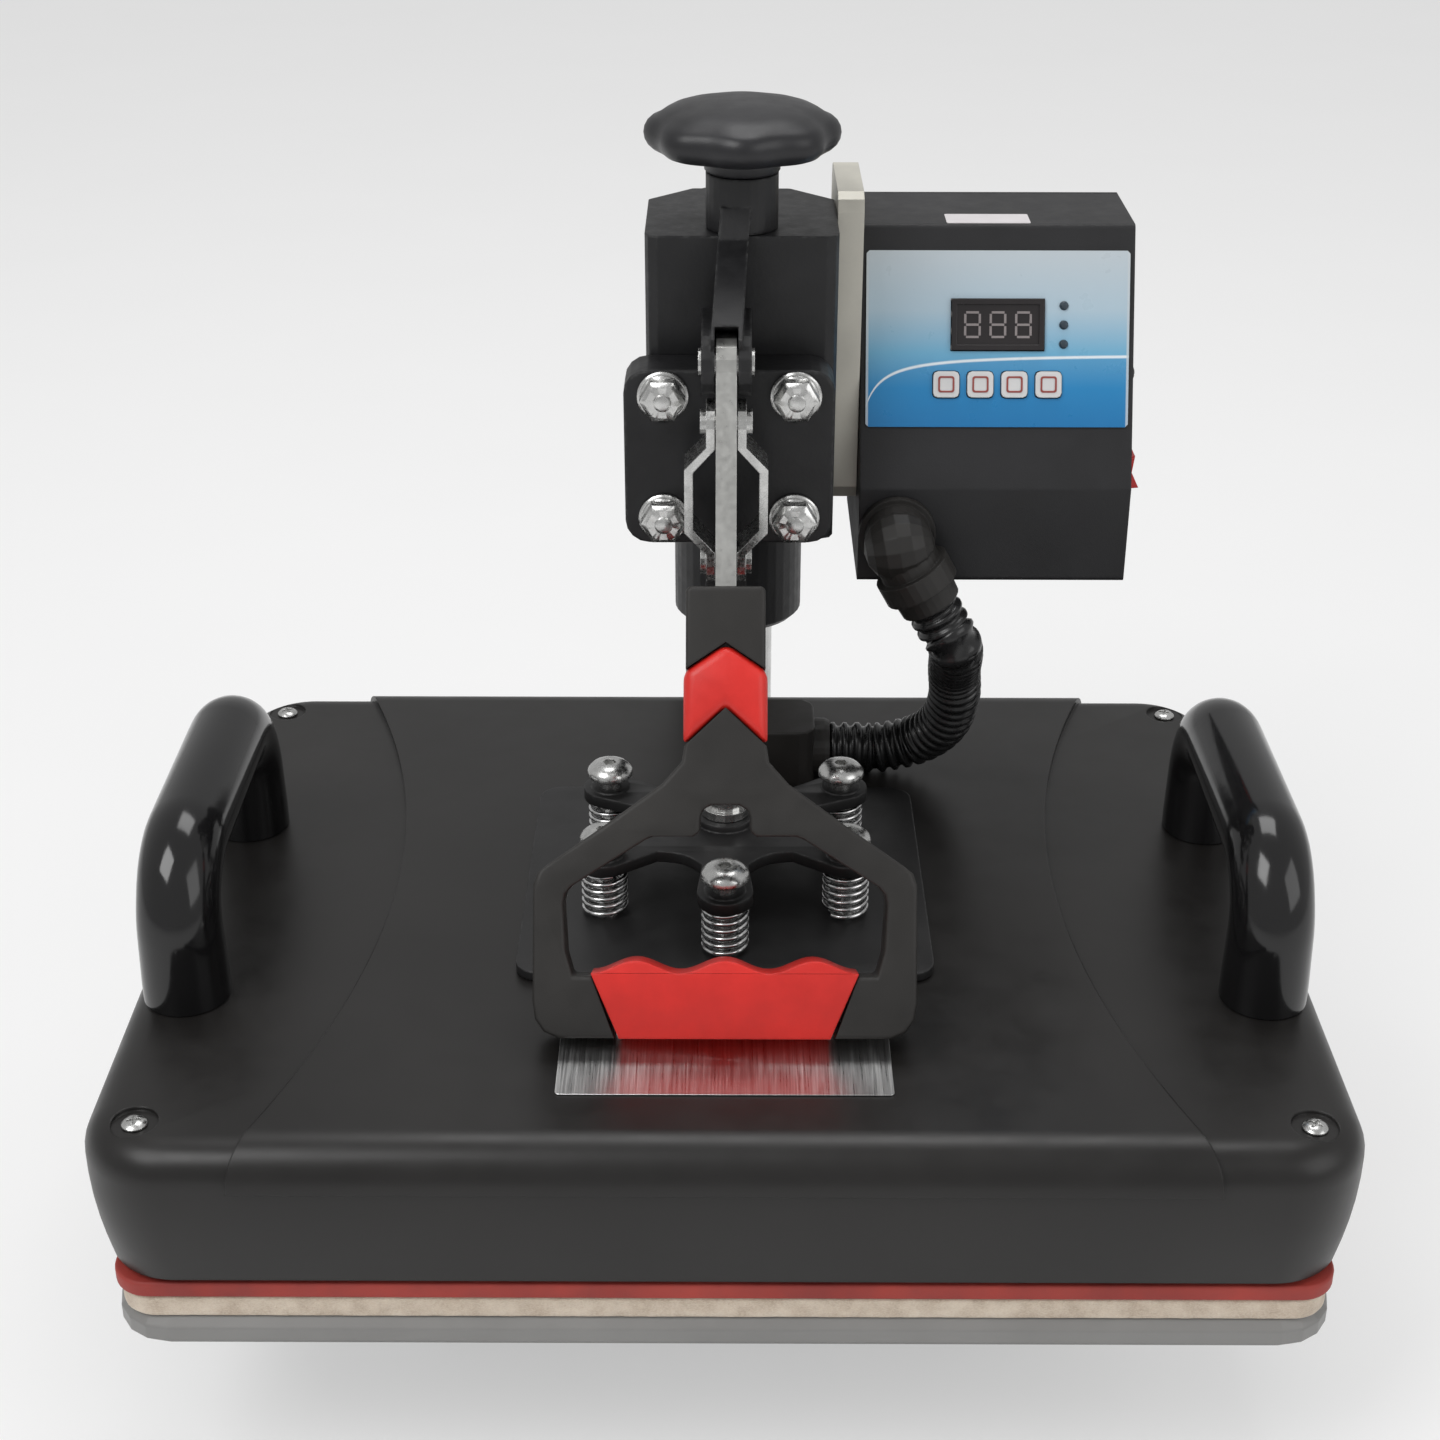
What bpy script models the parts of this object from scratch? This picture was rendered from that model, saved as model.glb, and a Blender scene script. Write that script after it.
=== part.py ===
"""Swing-away combo heat press with a 12 by 15 inch heat platen, modelled as separate pieces.

The press axis runs up through the middle of the platens. X points right, Y points to the
back and Z points up, and all lengths are in metres. The pieces are placed from the press
axis at bench level, and one empty moves them so that the world origin is on the bench under
the middle of the machine. The lever is closed and the heat platen rests just above the mat.
"""
import math

import bmesh
import bpy
from mathutils import Matrix, Vector

# Clearances and cuts
GAP = 0.0003
OVERRUN = 0.003
MERGE = 0.0000010
SCREW_MERGE = 0.0000500

# Rubber feet and base plate
FOOT_HEIGHT = 0.0100
FOOT_RADIUS = 0.0150
FOOT_TOP_RADIUS = 0.0130
FOOT_CHAMFER = 0.0010
FOOT_RECESS_RADIUS = 0.0050
FOOT_RECESS_DEPTH = 0.0040
FOOT_INSET = 0.0240
BASE_THICK = 0.0100
BASE_FRONT = -0.0750
BASE_BACK = 0.2360
BASE_FRONT_WIDTH = 0.2400
BASE_BACK_WIDTH = 0.1600
BASE_CORNER = 0.0180
BASE_EDGE = 0.0015

# Pedestal that carries the lower platen
PEDESTAL_FOOT_RADIUS = 0.0580
PEDESTAL_NECK_RADIUS = 0.0300
PEDESTAL_HEAD_RADIUS = 0.0680
PEDESTAL_FLANGE = 0.0070
PEDESTAL_FILLET = 0.0080

# Lower platen with its felt pad and silicone mat
LOWER_BOTTOM = 0.0650
LOWER_THICK = 0.0110
LOWER_WIDTH = 0.3850
LOWER_DEPTH = 0.3040
LOWER_CORNER = 0.0180
LOWER_EDGE = 0.0030
FELT_THICK = 0.0080
FELT_WIDTH = 0.3800
FELT_DEPTH = 0.3000
MAT_THICK = 0.0056
MAT_WIDTH = 0.3830
MAT_DEPTH = 0.3020
PAD_CORNER = 0.0120
FELT_EDGE = 0.0012
MAT_EDGE = 0.0010

# Heat platen and its cover
PLATEN_INSET_X = 0.0011
PLATEN_INSET_Y = 0.0026
PLATEN_WIDTH = MAT_WIDTH - 2 * PLATEN_INSET_X
PLATEN_DEPTH = MAT_DEPTH - 2 * PLATEN_INSET_Y
PLATEN_FIT = 0.0006
PLATEN_THICK = 0.0180
PLATEN_CORNER = 0.0210
PLATEN_SHOWS = 0.0022
COVER_HEIGHT = 0.0496
COVER_CORNER = 0.0280
COVER_TOP_ROUND = 0.0120
COVER_DRAFT = 0.0040
COVER_DRAFT_HEIGHT = 0.0300
COVER_WALL = 0.0030
COVER_WIDTH = PLATEN_WIDTH + 2 * (PLATEN_FIT + COVER_WALL + COVER_DRAFT)
COVER_DEPTH = PLATEN_DEPTH + 2 * (PLATEN_FIT + COVER_WALL + COVER_DRAFT)
PANEL_RISE = 0.0022
PANEL_END_INSET = 0.0480
PANEL_WAIST_INSET = 0.0810
PANEL_END_HALF = COVER_WIDTH / 2 - PANEL_END_INSET
PANEL_WAIST_HALF = COVER_WIDTH / 2 - PANEL_WAIST_INSET
COVER_SCREW_INSET_X = 0.0180
COVER_SCREW_INSET_Y = 0.0185
COVER_SCREW_X = COVER_WIDTH / 2 - COVER_SCREW_INSET_X
COVER_SCREW_Y = COVER_DEPTH / 2 - COVER_SCREW_INSET_Y
COVER_SCREW_RECESS_RADIUS = 0.0075
COVER_SCREW_RECESS_DEPTH = 0.0012
COVER_BOSS_RADIUS = 0.0070

# Side handles on the cover
HANDLE_INSET = 0.0200
HANDLE_X = COVER_WIDTH / 2 - HANDLE_INSET
HANDLE_FRONT = -0.0680
HANDLE_BACK = 0.0450
HANDLE_AXIS_RISE = 0.0480
HANDLE_RADIUS = 0.0135
HANDLE_LEG_RADIUS = 0.0143
HANDLE_BEND = 0.0240

# Spring plate with its six shoulder studs, springs and spider plate
SPRING_PLATE_WIDTH = 0.1400
SPRING_PLATE_DEPTH = 0.1280
SPRING_PLATE_THICK = 0.0032
SPRING_PLATE_CORNER = 0.0080
STUD_CIRCLE = 0.0480
STUD_COUNT = 6
STUD_RADIUS = 0.0040
STUD_HEAD_RADIUS = 0.0082
STUD_HEAD_RIM = 0.0022
STUD_HEAD_DOME = 0.0034
STUD_HEAD_FLOAT = 0.0046
COIL_WIRE_RADIUS = 0.0009
COIL_RADIUS = 0.0073
COIL_TURNS = 5.5
SPIDER_BOTTOM = 0.1662
SPIDER_THICK = 0.0042
SPIDER_LOBE_RADIUS = 0.0095
SPIDER_WAIST_RADIUS = 0.0285
SPIDER_HUB_RADIUS = 0.0105
SPIDER_HUB_RISE = 0.0030

# Press rod with its lug and collar
ROD_RADIUS = 0.0068
ROD_COLLAR_RADIUS = 0.0086
ROD_COLLAR_THICK = 0.0030
LUG_THICK = 0.0066
LUG_EYE_RADIUS = 0.0080
LUG_LENGTH = 0.0220
LUG_ROOT_HALF = 0.0050

# Toggle linkage, from the top pivot down
TOP_PIVOT_Z = 0.3380
CRANK = 0.0200
LINK = 0.0480
TOP_PIN_RADIUS = 0.0045
TOP_PIN_LENGTH = 0.0180
LINK_PIN_RADIUS = 0.0040
LINK_PIN_LENGTH = 0.0170
LEVER_PLATE_THICK = 0.0066
LEVER_TOP_RADIUS = 0.0095
LEVER_PIN_RADIUS = 0.0085
LEVER_TANG_WIDTH = 0.0120
LEVER_TANG_END = 0.0830
LEVER_LEAN = math.radians(28.0)
LINK_THICK = 0.0028
LINK_WIDTH = 0.0150
LINK_SIDE = 0.0004
LINK_BOW = 0.0136
LINK_BOW_TOP = 0.0150
LINK_BOW_BOTTOM = 0.0130
LINK_SHOULDER = 0.0080
LINK_RIVET_RADIUS = 0.0050
LINK_RIVET_HEAD = 0.0020

# Lever handle: distances along it are from the top pivot
HANDLE_THICK = 0.0160
NECK_HALF = 0.0126
NECK_START = 0.0720
NECK_END = 0.1240
NECK_FLARE_HALF = 0.0200
NECK_FLARE = 0.1350
SHOULDER_HALF = 0.0605
SHOULDER = 0.1640
LOOP_END = 0.2145
LOOP_CORNER = 0.0100
OPENING_TOP = 0.1510
OPENING_TOP_HALF = 0.0230
OPENING_SHOULDER = 0.1690
OPENING_HALF = 0.0510
OPENING_BOTTOM = 0.1950
NOTCH_HALF = 0.0078
NOTCH_TOP = 0.1410
LOOP_EDGE = 0.0025
GRIP_TOP = 0.1920
GRIP_TOP_HALF = 0.0422
GRIP_BOTTOM_HALF = 0.0332
GRIP_WAVE = 0.0020
GRIP_WAVES = 3
GRIP_PROUD = 0.0008
GRIP_EDGE = 0.0020
GRIP_CORE_THICK = 0.0080
GRIP_CORE_WIDTH = 0.0100
BAND_APEX = 0.0900
BAND_SIDE = 0.0984
BAND_BOTTOM = 0.1218
BAND_INNER_APEX = 0.1100
BAND_PROUD = 0.0007
BAND_CORE_HALF = 0.0085
BAND_CORE_THICK = 0.0100

# Toggle bracket: block, rib, fork and collar in one casting
BLOCK_X = 0.0010
BLOCK_WIDTH = 0.0700
BLOCK_TOP = 0.3290
BLOCK_HEIGHT = 0.0610
BLOCK_THICK = 0.0167
BLOCK_CORNER = 0.0080
BLOCK_EDGE = 0.0012
FORK_EAR = 0.0042
FORK_RADIUS = 0.0105
FORK_SIDE = 0.0005
RIB_THICK = 0.0100
COLLAR_RADIUS = 0.0120
COLLAR_HEIGHT = 0.0180
BOLT_X = 0.0220
BOLT_Z_TOP = 0.0085
BOLT_Z_PITCH = 0.0430
BOLT_RADIUS = 0.0030
WASHER_RADIUS = 0.0085
WASHER_THICK = 0.0016
NUT_RADIUS = 0.0076
NUT_HEIGHT = 0.0060
BOLT_TIP = 0.0012
BOLT_DEPTH = 0.0080
PRESSURE_TRAVEL = 0.0060

# Rod guide under the block
GUIDE_RADIUS = 0.0135
GUIDE_TOP = 0.2400
GUIDE_HEIGHT = 0.0260
GUIDE_WEB = 0.0140

# Column, arm and head, which lie to the right of the press axis
ARM_X = 0.0050
COLUMN_Y = 0.1900
COLUMN_RADIUS = 0.0145
COLUMN_TOP = 0.3250
COLUMN_CHAMFER = 0.0015
FLANGE_RADIUS = 0.0390
FLANGE_THICK = 0.0100
SOCKET_RADIUS = 0.0235
SOCKET_HEIGHT = 0.0340
SOCKET_FILLET = 0.0060
WASHER_RING_THICK = 0.0030
WASHER_RING_BORE = 0.0060
SLEEVE_RADIUS = 0.0265
SLEEVE_BOTTOM = 0.1660
SLEEVE_ROOF = 0.0120
SLEEVE_EDGE = 0.0025
WEB_WIDTH = 0.0400
WEB_BOTTOM = 0.2500
WEB_TOP = 0.3300
PAD_WIDTH = 0.0560
PAD_BOTTOM = 0.2680
PAD_TOP = 0.3500
PAD_THICK = 0.0080
HEAD_FRONT = 0.0350
HEAD_WIDTH = 0.0640
HEAD_DEPTH = 0.0620
HEAD_BOTTOM = 0.2625
HEAD_TOP = 0.3690
HEAD_CHAMFER = 0.0150
HEAD_FRONT_CORNER = 0.0040
HEAD_WALL = 0.0045
HEAD_FRONT_WALL = 0.0110
HEAD_ROOF = 0.0080
HEAD_EDGE = 0.0015
KNOB_Y = 0.0470
SCREW_RADIUS = 0.0060
SCREW_BOTTOM = 0.3000
NUT_RING_RADIUS = 0.0090

# Pressure knob
KNOB_BOTTOM = 0.3945
KNOB_RADIUS = 0.0312
KNOB_LOBE = 0.0011
KNOB_LOBES = 8
KNOB_RIM_HEIGHT = 0.0115
KNOB_DOME = 0.0045
KNOB_HUB_RADIUS = 0.0125
KNOB_SOCKET = 0.0060
KNOB_POINTS = 40

# Control box
BOX_LEFT = 0.0465
BOX_WIDTH = 0.0945
BOX_FRONT = 0.0450
BOX_BACK = 0.1220
BOX_BOTTOM = 0.2420
BOX_BEND_Z = 0.2770
BOX_TOP_FRONT = 0.0800
BOX_TOP = 0.3610
BOX_WALL = 0.0020
BOX_EDGE = 0.0016
BACK_COVER_THICK = 0.0016
VENT_COUNT = 6
VENT_WIDTH = 0.0420
VENT_HEIGHT = 0.0025
VENT_PITCH = 0.0065
BRACKET_BOTTOM = 0.2660
BRACKET_TOP = 0.3760
BRACKET_FRONT = 0.0600
BRACKET_BACK = 0.1120
BRACKET_CORNER = 0.0060

# Front panel: distances up the slope are from the bend
OVERLAY_INSET = 0.00175
OVERLAY_WIDTH = BOX_WIDTH - 2 * OVERLAY_INSET
OVERLAY_LOW = 0.0215
OVERLAY_HIGH = 0.0820
OVERLAY_THICK = 0.0006
OVERLAY_CORNER = 0.0010
DISPLAY_WIDTH = 0.0320
DISPLAY_HEIGHT = 0.0175
DISPLAY_MIDDLE = 0.0566
DISPLAY_PROUD = 0.0012
DISPLAY_DEEP = 0.0050
DISPLAY_RIM = 0.0018
DISPLAY_SUNK = 0.0008
KEY_SIZE = 0.0090
KEY_PITCH = 0.0118
KEY_COUNT = 4
KEY_MIDDLE = 0.0361
KEY_PROUD = 0.0012
KEY_DEEP = 0.0045
KEY_CORNER = 0.0016
KEY_CLEAR = 0.0003

# Rocker switch on the right side
ROCKER_Y = 0.0760
ROCKER_Z = 0.2725
ROCKER_FRAME_DEPTH = 0.0150
ROCKER_FRAME_HEIGHT = 0.0212
ROCKER_FLANGE = 0.0018
ROCKER_BODY_DEPTH = 0.0126
ROCKER_BODY_HEIGHT = 0.0188
ROCKER_BODY_LENGTH = 0.0110
ROCKER_SWEEP = 0.0080
ROCKER_WIDTH = 0.0094
ROCKER_CLEAR = 0.0003
ROCKER_HORN = 0.0052
ROCKER_WAIST = 0.0034
ROCKER_TILT = math.radians(10.0)

# Power inlet on the back cover
INLET_X = 0.0700
INLET_Z = 0.2620
INLET_FLANGE_WIDTH = 0.0400
INLET_FLANGE_HEIGHT = 0.0260
INLET_FLANGE_THICK = 0.0028
INLET_WIDTH = 0.0280
INLET_HEIGHT = 0.0200
INLET_DEPTH = 0.0170
INLET_WALL = 0.0020
INLET_FLOOR = 0.0030
INLET_CORNER = 0.0030
BLADE_WIDTH = 0.0040
BLADE_THICK = 0.0020
BLADE_LENGTH = 0.0090
BLADE_SPREAD = 0.0070
BLADE_DROP = 0.0020

# Hose between the control box and the cover
HOSE_RADIUS = 0.0097
HOSE_ROOT_RADIUS = 0.0082
HOSE_BORE_RADIUS = 0.0062
HOSE_RIB_PITCH = 0.0046
ELBOW_X = 0.0600
ELBOW_Z = 0.2610
ELBOW_FLANGE_RADIUS = 0.0135
ELBOW_FLANGE_THICK = 0.0030
ELBOW_RADIUS = 0.0115
ELBOW_REACH = 0.0105
ELBOW_LEAN = math.radians(29.0)
ELBOW_SLEEVE = 0.0240
ELBOW_COLLAR_RADIUS = 0.0135
ELBOW_COLLAR_START = 0.0090
ELBOW_COLLAR_LENGTH = 0.0080
OUTLET_X = 0.0340
OUTLET_Y = 0.0840
OUTLET_RISE = 0.0125
OUTLET_WIDTH = 0.0260
OUTLET_DEPTH = 0.0290
OUTLET_HEIGHT = 0.0257
OUTLET_CORNER = 0.0060
OUTLET_COLLAR_RADIUS = 0.0113
OUTLET_COLLAR = 0.0060

# Segment counts
ROUND = 28
SMALL_ROUND = 16
STUD_STEPS = 10
LARGE_ROUND = 40
ARC_STEPS = 4

# Heights and places that follow from the sizes above
BASE_TOP = FOOT_HEIGHT + BASE_THICK
LOWER_TOP = LOWER_BOTTOM + LOWER_THICK
FELT_BOTTOM = LOWER_TOP + GAP
FELT_TOP = FELT_BOTTOM + FELT_THICK
MAT_BOTTOM = FELT_TOP + GAP
MAT_TOP = MAT_BOTTOM + MAT_THICK
PLATEN_BOTTOM = MAT_TOP + GAP
PLATEN_TOP = PLATEN_BOTTOM + PLATEN_THICK
COVER_BOTTOM = PLATEN_BOTTOM + PLATEN_SHOWS
COVER_TOP = COVER_BOTTOM + COVER_HEIGHT
PANEL_TOP = COVER_TOP + PANEL_RISE
SPRING_PLATE_TOP = PANEL_TOP + GAP + SPRING_PLATE_THICK
SPIDER_TOP = SPIDER_BOTTOM + SPIDER_THICK
STUD_HEAD_BOTTOM = SPIDER_TOP + STUD_HEAD_FLOAT
HANDLE_AXIS = COVER_TOP + HANDLE_AXIS_RISE
LINK_PIVOT_Z = TOP_PIVOT_Z - CRANK
LUG_PIVOT_Z = LINK_PIVOT_Z - LINK
BLOCK_BOTTOM = BLOCK_TOP - BLOCK_HEIGHT
BLOCK_BACK = HEAD_FRONT - GAP
BLOCK_FRONT = BLOCK_BACK - BLOCK_THICK
BOLT_TOP_Z = BLOCK_TOP - BOLT_Z_TOP
BOLT_LOW_Z = BOLT_TOP_Z - BOLT_Z_PITCH
HEAD_BACK = HEAD_FRONT + HEAD_DEPTH
COLLAR_BOTTOM = HEAD_TOP + GAP
COLLAR_TOP = COLLAR_BOTTOM + COLLAR_HEIGHT
KNOB_HUB_BOTTOM = COLLAR_TOP + GAP
BOX_RIGHT = BOX_LEFT + BOX_WIDTH
BOX_MIDDLE = BOX_LEFT + BOX_WIDTH / 2
OUTLET_Z = COVER_TOP + OUTLET_RISE
COIL_BOTTOM = SPRING_PLATE_TOP + GAP + COIL_WIRE_RADIUS
COIL_TOP = SPIDER_BOTTOM - GAP - COIL_WIRE_RADIUS
MACHINE_MIDDLE = (BASE_BACK - COVER_DEPTH / 2 - PANEL_RISE) / 2

LEVER_OUT = Vector((0, -math.sin(LEVER_LEAN), -math.cos(LEVER_LEAN)))
LEVER_FACE = Vector((0, -math.cos(LEVER_LEAN), math.sin(LEVER_LEAN)))
TOP_PIVOT = Vector((0, 0, TOP_PIVOT_Z))
LINK_PIVOT = Vector((0, 0, LINK_PIVOT_Z))
SLOPE_RUN = BOX_TOP_FRONT - BOX_FRONT
SLOPE_RISE = BOX_TOP - BOX_BEND_Z
SLOPE_LENGTH = math.hypot(SLOPE_RUN, SLOPE_RISE)
SLOPE_UP = Vector((0, SLOPE_RUN, SLOPE_RISE)) / SLOPE_LENGTH
SLOPE_OUT = Vector((0, -SLOPE_RISE, SLOPE_RUN)) / SLOPE_LENGTH
ELBOW_CENTRE = Vector((ELBOW_X, BOX_FRONT - GAP - ELBOW_FLANGE_THICK - ELBOW_REACH, ELBOW_Z))
ELBOW_AXIS = Vector((math.sin(ELBOW_LEAN), 0, -math.cos(ELBOW_LEAN)))


# Scene, collections and materials


def clear_scene():
    for item in list(bpy.data.objects):
        bpy.data.objects.remove(item, do_unlink=True)


def new_collection(name):
    collection = bpy.data.collections.new(name)
    bpy.context.scene.collection.children.link(collection)
    return collection


def principled(name, colour, roughness, metallic=0.0):
    material = bpy.data.materials.new(name)
    material.use_nodes = True
    shader = material.node_tree.nodes["Principled BSDF"]
    shader.inputs["Base Color"].default_value = (*colour, 1.0)
    shader.inputs["Roughness"].default_value = roughness
    shader.inputs["Metallic"].default_value = metallic
    material.diffuse_color = (*colour, 1.0)
    return material


clear_scene()
PARTS = new_collection("combo_heat_press")
CUTTERS = new_collection("cutters")

SATIN_BLACK = principled("satin_black_paint", (0.022, 0.022, 0.024), 0.42)
GLOSS_BLACK = principled("gloss_black_plastic", (0.012, 0.012, 0.014), 0.12)
MATTE_BLACK = principled("matte_black_plastic", (0.030, 0.029, 0.028), 0.55)
BLACK_RUBBER = principled("black_rubber", (0.025, 0.025, 0.025), 0.80)
STEEL = principled("bright_steel", (0.62, 0.62, 0.60), 0.28, 1.0)
SPRING_STEEL = principled("spring_steel", (0.70, 0.70, 0.70), 0.22, 1.0)
ALUMINIUM = principled("aluminium", (0.72, 0.72, 0.71), 0.35, 1.0)
BRASS = principled("brass", (0.72, 0.55, 0.26), 0.30, 1.0)
BRONZE = principled("bronze", (0.55, 0.38, 0.22), 0.40, 1.0)
GREY_PAINT = principled("grey_paint", (0.27, 0.27, 0.26), 0.45)
CREAM_STEEL = principled("pale_plated_steel", (0.60, 0.59, 0.54), 0.38, 0.6)
CREAM_FELT = principled("cream_felt", (0.66, 0.52, 0.40), 0.95)
RED_SILICONE = principled("dark_red_silicone", (0.30, 0.030, 0.025), 0.60)
RED_PLASTIC = principled("red_soft_plastic", (0.62, 0.022, 0.018), 0.45)
PANEL_BLUE = principled("panel_print", (0.18, 0.42, 0.62), 0.35)
DISPLAY_DARK = principled("display_window", (0.035, 0.030, 0.030), 0.15)
KEY_WHITE = principled("key_white", (0.72, 0.72, 0.70), 0.45)


# Frames that the moving pieces hang from


def frame_at(name, point, parent=None):
    empty = bpy.data.objects.new(name, None)
    empty.empty_display_size = KNOB_RADIUS
    PARTS.objects.link(empty)
    empty.location = point
    if parent is not None:
        empty.parent = parent
        empty.location = Vector(point) - frame_origin(parent)
    return empty


def frame_origin(empty):
    place = Vector(empty.location)
    if empty.parent is not None:
        place += frame_origin(empty.parent)
    return place


MACHINE = frame_at("machine_frame", (0, 0, 0))
ARM_AXIS = frame_at("arm_swing_axis", (ARM_X, COLUMN_Y, 0), MACHINE)
CARRIAGE = frame_at("pressure_slide_axis", (ARM_X, KNOB_Y, COLLAR_TOP), ARM_AXIS)
KNOB_AXIS = frame_at("knob_axis", (ARM_X, KNOB_Y, KNOB_BOTTOM), CARRIAGE)
LEVER_AXIS = frame_at("lever_axis", TOP_PIVOT, CARRIAGE)
LINK_AXIS = frame_at("link_axis", LINK_PIVOT, LEVER_AXIS)
PLATEN_AXIS = frame_at("press_slide_axis", (0, 0, COVER_TOP), CARRIAGE)
PUSHER_AXIS = frame_at("spring_slide_axis", (0, 0, SPIDER_TOP), PLATEN_AXIS)


def finish(obj, name, material, frame):
    """Names a finished piece, gives it its material and hangs it from its frame."""
    obj.name = name
    for collection in list(obj.users_collection):
        collection.objects.unlink(obj)
    PARTS.objects.link(obj)
    obj.data.materials.clear()
    obj.data.materials.append(material)
    obj.parent = frame
    obj.matrix_parent_inverse = Matrix.Translation(-frame_origin(frame))
    return obj


def as_cutter(obj, name):
    obj.name = name
    for collection in list(obj.users_collection):
        collection.objects.unlink(obj)
    CUTTERS.objects.link(obj)
    obj.hide_render = True
    obj.display_type = "WIRE"
    return obj


# Shapes


def object_from_bmesh(name, shape):
    mesh = bpy.data.meshes.new(name)
    shape.to_mesh(mesh)
    shape.free()
    obj = bpy.data.objects.new(name, mesh)
    bpy.context.scene.collection.objects.link(obj)
    return obj


def box(name, low, high):
    """A box between two corners."""
    low = Vector(low)
    high = Vector(high)
    shape = bmesh.new()
    bmesh.ops.create_cube(shape, size=1)
    size = high - low
    bmesh.ops.scale(shape, vec=size, verts=shape.verts)
    bmesh.ops.translate(shape, vec=(low + high) / 2, verts=shape.verts)
    return object_from_bmesh(name, shape)


def mesh_of(obj):
    """Turns a curve, or an object with modifiers, into one welded mesh object in place."""
    bpy.context.view_layer.update()
    graph = bpy.context.evaluated_depsgraph_get()
    mesh = bpy.data.meshes.new_from_object(obj.evaluated_get(graph))
    shape = bmesh.new()
    shape.from_mesh(mesh)
    bmesh.ops.remove_doubles(shape, verts=shape.verts, dist=MERGE)
    bmesh.ops.dissolve_degenerate(shape, edges=shape.edges, dist=MERGE)
    bmesh.ops.recalc_face_normals(shape, faces=shape.faces)
    if shape.calc_volume(signed=True) < 0:
        bmesh.ops.reverse_faces(shape, faces=shape.faces)
    shape.to_mesh(mesh)
    shape.free()
    solid = bpy.data.objects.new(obj.name + "_solid", mesh)
    bpy.context.scene.collection.objects.link(solid)
    solid.matrix_world = obj.matrix_world
    bpy.data.objects.remove(obj, do_unlink=True)
    return solid


def prism(name, outlines, thickness, plane="XY", at=0.0, matrix=None):
    """A flat outline, with any holes, made thick. at is the middle of its thickness.

    The outline's two numbers are X and Y, Y and Z, or X and Z, as plane says.
    """
    curve = bpy.data.curves.new(name, "CURVE")
    curve.dimensions = "2D"
    curve.fill_mode = "BOTH"
    curve.extrude = thickness / 2
    for outline in outlines:
        spline = curve.splines.new("POLY")
        spline.points.add(len(outline) - 1)
        for point, (a, b) in zip(spline.points, outline):
            point.co = (a, b, 0, 1)
        spline.use_cyclic_u = True
    obj = bpy.data.objects.new(name, curve)
    bpy.context.scene.collection.objects.link(obj)
    solid = mesh_of(obj)
    turn = {
        "XY": Matrix(((1, 0, 0, 0), (0, 1, 0, 0), (0, 0, 1, at), (0, 0, 0, 1))),
        "YZ": Matrix(((0, 0, 1, at), (1, 0, 0, 0), (0, 1, 0, 0), (0, 0, 0, 1))),
        "XZ": Matrix(((1, 0, 0, 0), (0, 0, -1, at), (0, 1, 0, 0), (0, 0, 0, 1))),
    }[plane]
    solid.data.transform(turn if matrix is None else matrix)
    return solid


def turned(name, profile, centre=(0, 0, 0), axis=(0, 0, 1), steps=ROUND):
    """A turned piece. The profile is (radius, height) pairs from the top down its outer side.

    A profile that starts and ends off the axis is closed into a ring.
    """
    shape = bmesh.new()
    verts = [shape.verts.new((radius, 0, height)) for radius, height in profile]
    for first, second in zip(verts, verts[1:]):
        shape.edges.new((first, second))
    if profile[0][0] > 0 or profile[-1][0] > 0:
        shape.edges.new((verts[-1], verts[0]))
    obj = object_from_bmesh(name, shape)
    screw = obj.modifiers.new("turn", "SCREW")
    screw.steps = steps
    screw.render_steps = steps
    screw.use_merge_vertices = True
    screw.merge_threshold = SCREW_MERGE
    screw.use_smooth_shade = False
    solid = mesh_of(obj)
    rotation = Vector((0, 0, 1)).rotation_difference(Vector(axis)).to_matrix().to_4x4()
    solid.data.transform(Matrix.Translation(centre) @ rotation)
    return solid


def rod(name, start, end, radius, steps=SMALL_ROUND):
    """A plain round bar between two points."""
    start = Vector(start)
    end = Vector(end)
    length = (end - start).length
    profile = [(0, length), (radius, length), (radius, 0), (0, 0)]
    return turned(name, profile, start, end - start, steps)


def ring(name, low, high, outer, inner, centre, steps=ROUND):
    """A tube standing upright at centre between two heights."""
    profile = [(inner, high), (outer, high), (outer, low), (inner, low)]
    return turned(name, profile, (centre[0], centre[1], 0), steps=steps)


def tube_curve(name, points, radius, resolution, radii=None):
    """A round tube along points, as a curve with filled ends."""
    curve = bpy.data.curves.new(name, "CURVE")
    curve.dimensions = "3D"
    curve.bevel_depth = radius
    curve.bevel_resolution = resolution
    curve.use_fill_caps = True
    spline = curve.splines.new("POLY")
    spline.points.add(len(points) - 1)
    for index, (point, place) in enumerate(zip(spline.points, points)):
        point.co = (*place, 1)
        point.radius = 1.0 if radii is None else radii[index]
    obj = bpy.data.objects.new(name, curve)
    bpy.context.scene.collection.objects.link(obj)
    return obj


def loft(name, rings):
    """A closed skin over rings that all have the same number of points, lowest ring first."""
    shape = bmesh.new()
    levels = [[shape.verts.new(point) for point in points] for points in rings]
    count = len(rings[0])
    shape.faces.new(reversed(levels[0]))
    for lower, upper in zip(levels, levels[1:]):
        for index in range(count):
            following = (index + 1) % count
            shape.faces.new((lower[index], lower[following], upper[following], upper[index]))
    shape.faces.new(levels[-1])
    return object_from_bmesh(name, shape)


def boolean(obj, tool, operation):
    modifier = obj.modifiers.new(operation.lower(), "BOOLEAN")
    modifier.operation = operation
    modifier.solver = "EXACT"
    modifier.object = tool
    return obj


def cut(obj, *tools):
    for index, tool in enumerate(tools):
        boolean(obj, as_cutter(tool, obj.name + "_cut_" + str(index)), "DIFFERENCE")
    return mesh_of(obj)


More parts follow.
